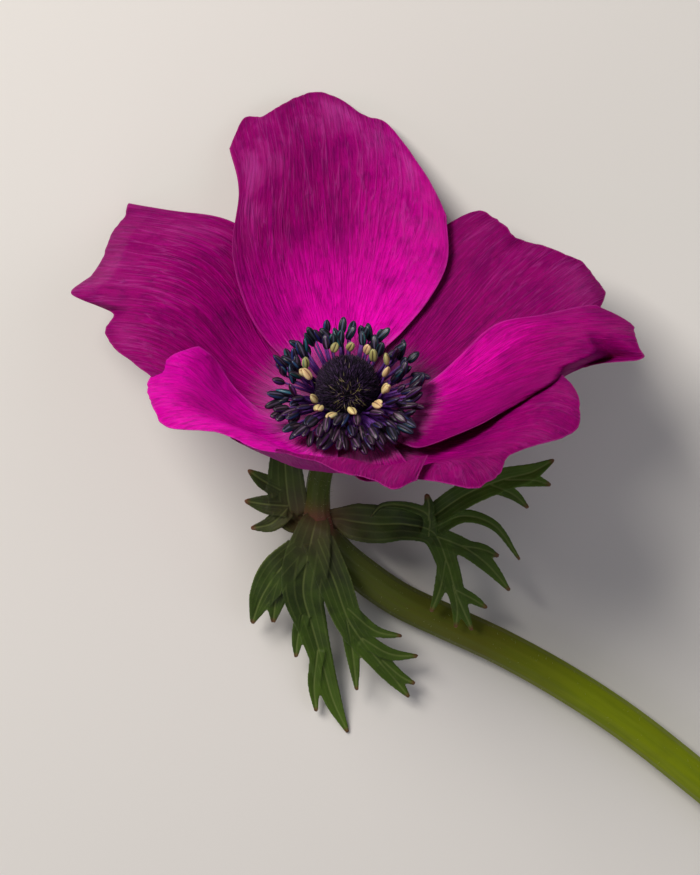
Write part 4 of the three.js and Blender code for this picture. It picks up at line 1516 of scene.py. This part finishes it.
BRACTS = (
    Bract("bract_low", (-4.5, -17.9, 8.9, 1.6), (
        ((-5, -19.8, 10.7, 2.6), (-6.1, -24.7, 9.8, 3.6), (-6.7, -29.6, 8.2, 3.2),
         (-5.4, -34.8, 6.2, 2.4), (-3.9, -40.4, 4, 1.8), (-2.2, -46.7, 1.8, 1.4), (0.1, -51.9, 0.6, 0.3)),
        ((-7.2, -22.9, 9.9, 2.2), (-10.6, -26.6, 8.4, 2.8), (-13.1, -30.5, 6, 2), (-14.7, -34.8, 3.6, 0.35)),
        ((-9.6, -27, 8.4, 1.6), (-10.9, -31, 6.2, 1.5), (-11.4, -34.6, 4.6, 0.35)),
        ((-6.8, -33.2, 7, 1.3), (-7.6, -36.9, 5.4, 1), (-7.9, -40, 4.4, 0.3)),
        ((-4.5, -38.8, 4.8, 1.2), (-5.1, -44.3, 2.9, 1), (-4.8, -48.6, 1.6, 0.3)),
        ((-4.4, -21.6, 10.5, 2.4), (-2, -27.8, 9.4, 2.6), (0.4, -34.3, 7.6, 2.2),
         (3.5, -38.7, 6, 1.7), (6.9, -42.8, 4.2, 1.3), (9.6, -46.2, 3, 0.3)),
        ((2.3, -36.8, 6.8, 1.2), (6.6, -39.3, 5.6, 1), (10.9, -39.7, 4.8, 0.3)),
        ((5.4, -40.3, 5.2, 1.1), (8.2, -42.8, 4.2, 0.8), (10.5, -44.1, 3.6, 0.3)),
        ((-0.2, -32.7, 8, 1.3), (0.9, -39.4, 6, 1.1), (1.5, -45.1, 4.2, 0.3)),
        ((0, -32.1, 8.1, 1.2), (4.4, -35.7, 7, 0.9), (8.4, -36.5, 6.4, 0.3)),
    )),
    Bract("bract_right", (-3.2, -18.5, 8.2, 1.4), (
        ((-1.2, -18.4, 8.8, 1.8), (1, -18.8, 9.8, 2.8), (4.7, -19.2, 10.6, 3), (8.9, -19.2, 11.4, 2.5),
         (13, -20.4, 11.2, 2.1), (15.2, -25, 10.2, 1.7), (16.6, -29.6, 9.2, 1.4), (19.1, -35.5, 8.2, 0.3)),
        ((15, -24.7, 10.3, 1.3), (14.2, -29, 9.2, 1), (12.8, -32.7, 8.4, 0.3)),
        ((16.1, -28.5, 9.5, 1.1), (16.8, -32.1, 8.7, 0.9), (16.6, -35.1, 8.2, 0.3)),
        ((16.6, -29.3, 9.3, 1), (19.4, -30.8, 8.8, 0.8), (21.4, -32.1, 8.4, 0.3)),
        ((13.5, -21, 11.1, 1.6), (17.9, -22.8, 10.6, 1.4), (21.4, -25.4, 10, 1.2), (24.8, -29.4, 9.2, 0.3)),
        ((17.5, -22.5, 10.7, 1), (20.8, -23.1, 10.3, 0.9), (23.1, -24.1, 10, 0.3)),
        ((12.9, -19.8, 11.3, 1.6), (17.6, -17.9, 12.2, 1.1), (22.2, -19.3, 12.4, 0.8),
         (26.2, -24.6, 11.6, 0.25)),
        ((12.3, -18.5, 11.4, 1.8), (18, -14.6, 13, 2), (23.4, -12.4, 13.6, 1.8), (27.9, -11.2, 13.8, 1.3),
         (31.2, -9.4, 13.8, 0.3)),
        ((23.8, -12.4, 13.6, 1.3), (28.2, -12.5, 13.4, 1), (30.8, -13.2, 13.2, 0.3)),
        ((21.6, -13.1, 13.5, 1.2), (25.2, -14.7, 13, 0.9), (27.4, -16.7, 12.6, 0.3)),
        ((12.4, -20.9, 11.5, 1.3), (12.3, -17.9, 12.7, 0.9), (9.2, -16.4, 13.5, 0.7),
         (5.2, -16.4, 13.8, 0.5), (3.4, -18.2, 13.4, 0.2)),
        ((12.3, -18.6, 12.5, 0.9), (12.4, -16.4, 13, 0.8), (12, -14.6, 13.2, 0.4)),
    )),
    Bract("bract_back", (-5.6, -18.8, 7.4, 1.3), (
        ((-8, -18.8, 7.6, 2), (-8.8, -16.5, 8.6, 3), (-9.2, -13.4, 10, 2.9), (-9.4, -9.8, 11.4, 2.5),
         (-9.4, -6.1, 12.6, 1.5), (-9.2, -4, 13.1, 0.4)),
        ((-9, -16.5, 8.8, 1.7), (-12.4, -16.2, 9.2, 1.5), (-15.6, -15.7, 9.4, 0.3)),
        ((-9.1, -16.9, 8.5, 1.6), (-11.6, -19.2, 8.4, 1.3), (-14.7, -19.9, 8.2, 0.3)),
        ((-10.2, -14, 9.8, 1.5), (-12.9, -12.5, 10.4, 1.2), (-15, -11, 10.8, 0.3)),
    )),
)


@dataclass
class BractCollar:
    """The three cut bracts under the bloom, each grown together from its lobes."""

    place: BloomPlace
    finish: LeafBlade = LeafBlade()
    thick: float = 0.55
    thinning: float = 0.35      # share by which a lobe is thinner at its edge
    fold: float = 0.26          # rise of a lobe's edge for each mm of half-width
    keel: float = 0.02          # how soft that fold is at the midrib
    narrowest: float = 0.05     # half-width of a lobe's tip at least
    columns: int = 8
    voxel: float = 0.16         # how finely the lobes are grown together
    passes: int = 6             # of smoothing after that
    main_share: float = 0.85    # lets the main lobe's veins run on under the others' roots
    past_end: float = 2.0       # how much more a distance counts past a lobe's end than beside it
    least_half: float = 0.25    # half-width that such distances are measured by at a lobe's tip
    nerves: int = 3             # veins between a lobe's midrib and its margin
    nerve_height: float = 0.03
    nerve_from: float = 0.5     # distance from the midrib where they reach that height
    midrib: tuple[float, float] = (0.1, 0.2)    # depth and half-width of its groove
    ripple: float = 0.1
    ripple_turns: tuple[float, float] = (1.3, 0.9)      # radians a millimetre along X and Y
    root_reach: float = 3.0     # how far the colour of the root reaches

    def lobe(self, stations: tuple[tuple[float, ...], ...]) -> tuple[Mesh, Route]:
        """One lobe as a closed arched blade.

        Args:
            stations: along its middle, with half-widths.
        Returns:
            The blade, and the route of its midrib.
        """
        route = Route(stations, per_span=8)
        side = unit(np.cross(route.tangents, UP))
        up = np.cross(side, route.tangents)[:, None]
        share = np.linspace(1, -1, self.columns + 1)
        widths = np.maximum(route.sizes, self.narrowest)[:, None] * np.ones_like(share)
        lift = np.sqrt(share ** 2 + self.keel) * widths * self.fold
        upper = route.points[:, None] + side[:, None] * (share * widths)[..., None] + up * lift[..., None]
        blade = self.thick * (1 - self.thinning * share ** 4)
        lower = upper - up * (blade * np.ones_like(widths))[..., None]
        rings = np.concatenate([upper, lower[:, ::-1]], axis=1)
        return (rings.reshape(-1, 3), tube_faces(*rings.shape[:2]), {}), route

    def knit(self, lobes: Mesh) -> tuple[np.ndarray, np.ndarray, list]:
        """Grows lobes that overlap together into one smooth skin.

        Args:
            lobes: the closed blades, in millimetres.
        Returns:
            Points and normals of the skin, and its faces.
        """
        mesh = bpy.data.meshes.new("lobes")
        mesh.from_pydata(lobes[0].tolist(), [], lobes[1])
        rough = into_scene("lobes", mesh)
        grown = rough.modifiers.new("grown", "REMESH")
        grown.mode = "VOXEL"
        grown.voxel_size = self.voxel
        grown.adaptivity = 0.0
        whole = bpy.data.meshes.new_from_object(rough.evaluated_get(bpy.context.evaluated_depsgraph_get()))
        bpy.data.objects.remove(rough)
        bm = bmesh.new()
        bm.from_mesh(whole)
        bpy.data.meshes.remove(whole)
        for _ in range(self.passes):
            bmesh.ops.smooth_vert(
                bm, verts=bm.verts, factor=0.5, use_axis_x=True, use_axis_y=True, use_axis_z=True,
            )
        bm.normal_update()
        points = np.array([v.co for v in bm.verts])
        normals = np.array([v.normal for v in bm.verts])
        faces = [[v.index for v in face.verts] for face in bm.faces]
        bm.free()
        return points, normals, faces

    def whereabouts(self, places: np.ndarray, routes: list[Route]) -> tuple[np.ndarray, ...]:
        """Finds where each point of a bract lies on the lobe that it belongs to.

        Args:
            places: the points.
            routes: the lobes' midribs, the main lobe's first.
        Returns:
            How far towards the margin each point lies, as a share of the half-width; its distance from
            the midrib; and how much of the lobe's length is left to the tip.
        """
        edge = np.full(len(places), np.inf)
        across, left = np.zeros(len(places)), np.zeros(len(places))
        for number, route in enumerate(routes):
            square = (places ** 2).sum(axis=1)[:, None] + (route.points ** 2).sum(axis=1)[None, :]
            nearest = np.argmin(square - 2 * places @ route.points.T, axis=1)
            away = places - route.points[nearest]
            shift = (away * route.tangents[nearest]).sum(axis=1)
            aside = np.linalg.norm((away - route.tangents[nearest] * shift[:, None])[:, :2], axis=1)
            run = route.lengths[nearest] + shift
            beyond = np.maximum(run - route.lengths[-1], 0) + np.maximum(-run, 0)
            half = np.maximum(route.sizes[nearest], self.least_half)
            ratio = np.hypot(aside, beyond * self.past_end) / half * (1 if number else self.main_share)
            inner = ratio < edge
            edge = np.where(inner, ratio, edge)
            across = np.where(inner, aside, across)
            left = np.where(inner, route.lengths[-1] - run, left)
        return edge, across, left

    def build_bract(self, bract: Bract) -> bpy.types.Object:
        """Builds one bract: its lobes are grown together, then veined.

        Args:
            bract: which bract.
        Returns:
            The piece.
        """
        lobes = ((bract.root, *bract.lobes[0]), *bract.lobes[1:])
        blades, routes = zip(*(self.lobe(stations) for stations in lobes))
        places, normals, faces = self.knit(gather(list(blades)))
        edge, across, left = self.whereabouts(places, list(routes))
        reach = np.linalg.norm(places - np.array(bract.root[:3]), axis=1)
        nerve = 0.5 + 0.5 * np.cos(math.tau * self.nerves * edge)
        # Veins stand up on the upper side and are pressed in below, where the normal points down.
        upward = smooth(normals[:, 2] * 4 + 0.5) * 2 - 1
        depth, width = self.midrib
        groove = depth * np.exp(-(across / width) ** 2)
        ridges = self.nerve_height * nerve ** 4 * smooth(across / self.nerve_from)
        points = places + normals * ((ridges - groove) * upward)[:, None]
        points[:, 2] += self.ripple * np.sin(places[:, :2] @ np.array(self.ripple_turns))
        points = points + np.array(self.place.foot)
        points[:, 2] = np.maximum(points[:, 2], 0.0)
        return mesh_piece(f"{bract.name}_blade", (points, faces, {
            "rib": np.stack([across, reach, np.exp(-reach / self.root_reach)], axis=-1),
            "lobe": np.stack([edge, nerve, left], axis=-1),
        }))

    def build(self) -> None:
        """Builds and dresses the bracts."""
        material = self.finish.material()
        for bract in BRACTS:
            dress(self.build_bract(bract), material, "leaf_tissue", bract.name)


# Studio

@dataclass(frozen=True)
class SoftLight:
    """A square soft light: where it stands, the length of its side, its power and its colour."""

    name: str
    at: tuple[float, float, float]
    side: float
    power: float
    colour: str


@dataclass
class Studio:
    """Pale floor, soft lights and the camera, in metres."""

    target: tuple[float, float, float] = (-0.02, 0.015, 0.015)
    lights: tuple[SoftLight, ...] = (
        SoftLight("key_light", (-0.34, 0.34, 0.5), 0.32, 4.6, "#fffaf4"),
        SoftLight("fill_light", (0.5, 0.0, 0.55), 0.6, 0.8, "#f2f6ff"),
        SoftLight("low_light", (-0.3, -0.5, 0.35), 0.5, 0.7, "#fdf6ff"),
    )
    floor_side: float = 4.0
    sky: str = "#c9cbd0"
    sky_strength: float = 0.22
    camera_at: tuple[float, float, float] = (-0.028853, 0.019565, 0.4388)
    lens_mm: float = 115.98
    sensor_mm: float = 36.0
    clip_start: float = 0.01

    def build(self) -> None:
        """Builds floor, lights, world and camera."""
        bpy.ops.mesh.primitive_plane_add(size=self.floor_side, location=(0, 0, 0))
        floor = bpy.context.object
        floor.name = "studio_floor"
        floor.data.materials.append(PaleFloor().material())
        for light in self.lights:
            data = bpy.data.lights.new(light.name, "AREA")
            data.size = light.side
            data.energy = light.power
            data.color = linear(light.colour)[:3]
            lamp = into_scene(light.name, data)
            lamp.location = light.at
            aim = Vector(self.target) - Vector(light.at)
            lamp.rotation_euler = aim.to_track_quat("-Z", "Y").to_euler()
        world = bpy.data.worlds.new("studio_air")
        world.use_nodes = True
        backdrop = world.node_tree.nodes["Background"]
        backdrop.inputs["Color"].default_value = linear(self.sky)
        backdrop.inputs["Strength"].default_value = self.sky_strength
        bpy.context.scene.world = world
        bpy.context.scene.view_settings.view_transform = "Standard"
        data = bpy.data.cameras.new("camera")
        data.lens = self.lens_mm
        data.sensor_width = self.sensor_mm
        data.clip_start = self.clip_start
        camera = into_scene("camera", data)
        camera.location = self.camera_at
        bpy.context.scene.camera = camera


def main() -> None:
    """Builds the scene, sub-assembly by sub-assembly."""
    logging.basicConfig(level=logging.INFO, format="%(message)s")
    place = BloomPlace()
    Studio().build()
    for assembly in (Corolla, StamenCrown, PistilDome, Stem, BractCollar):
        assembly(place).build()


if __name__ == "__main__":
    main()
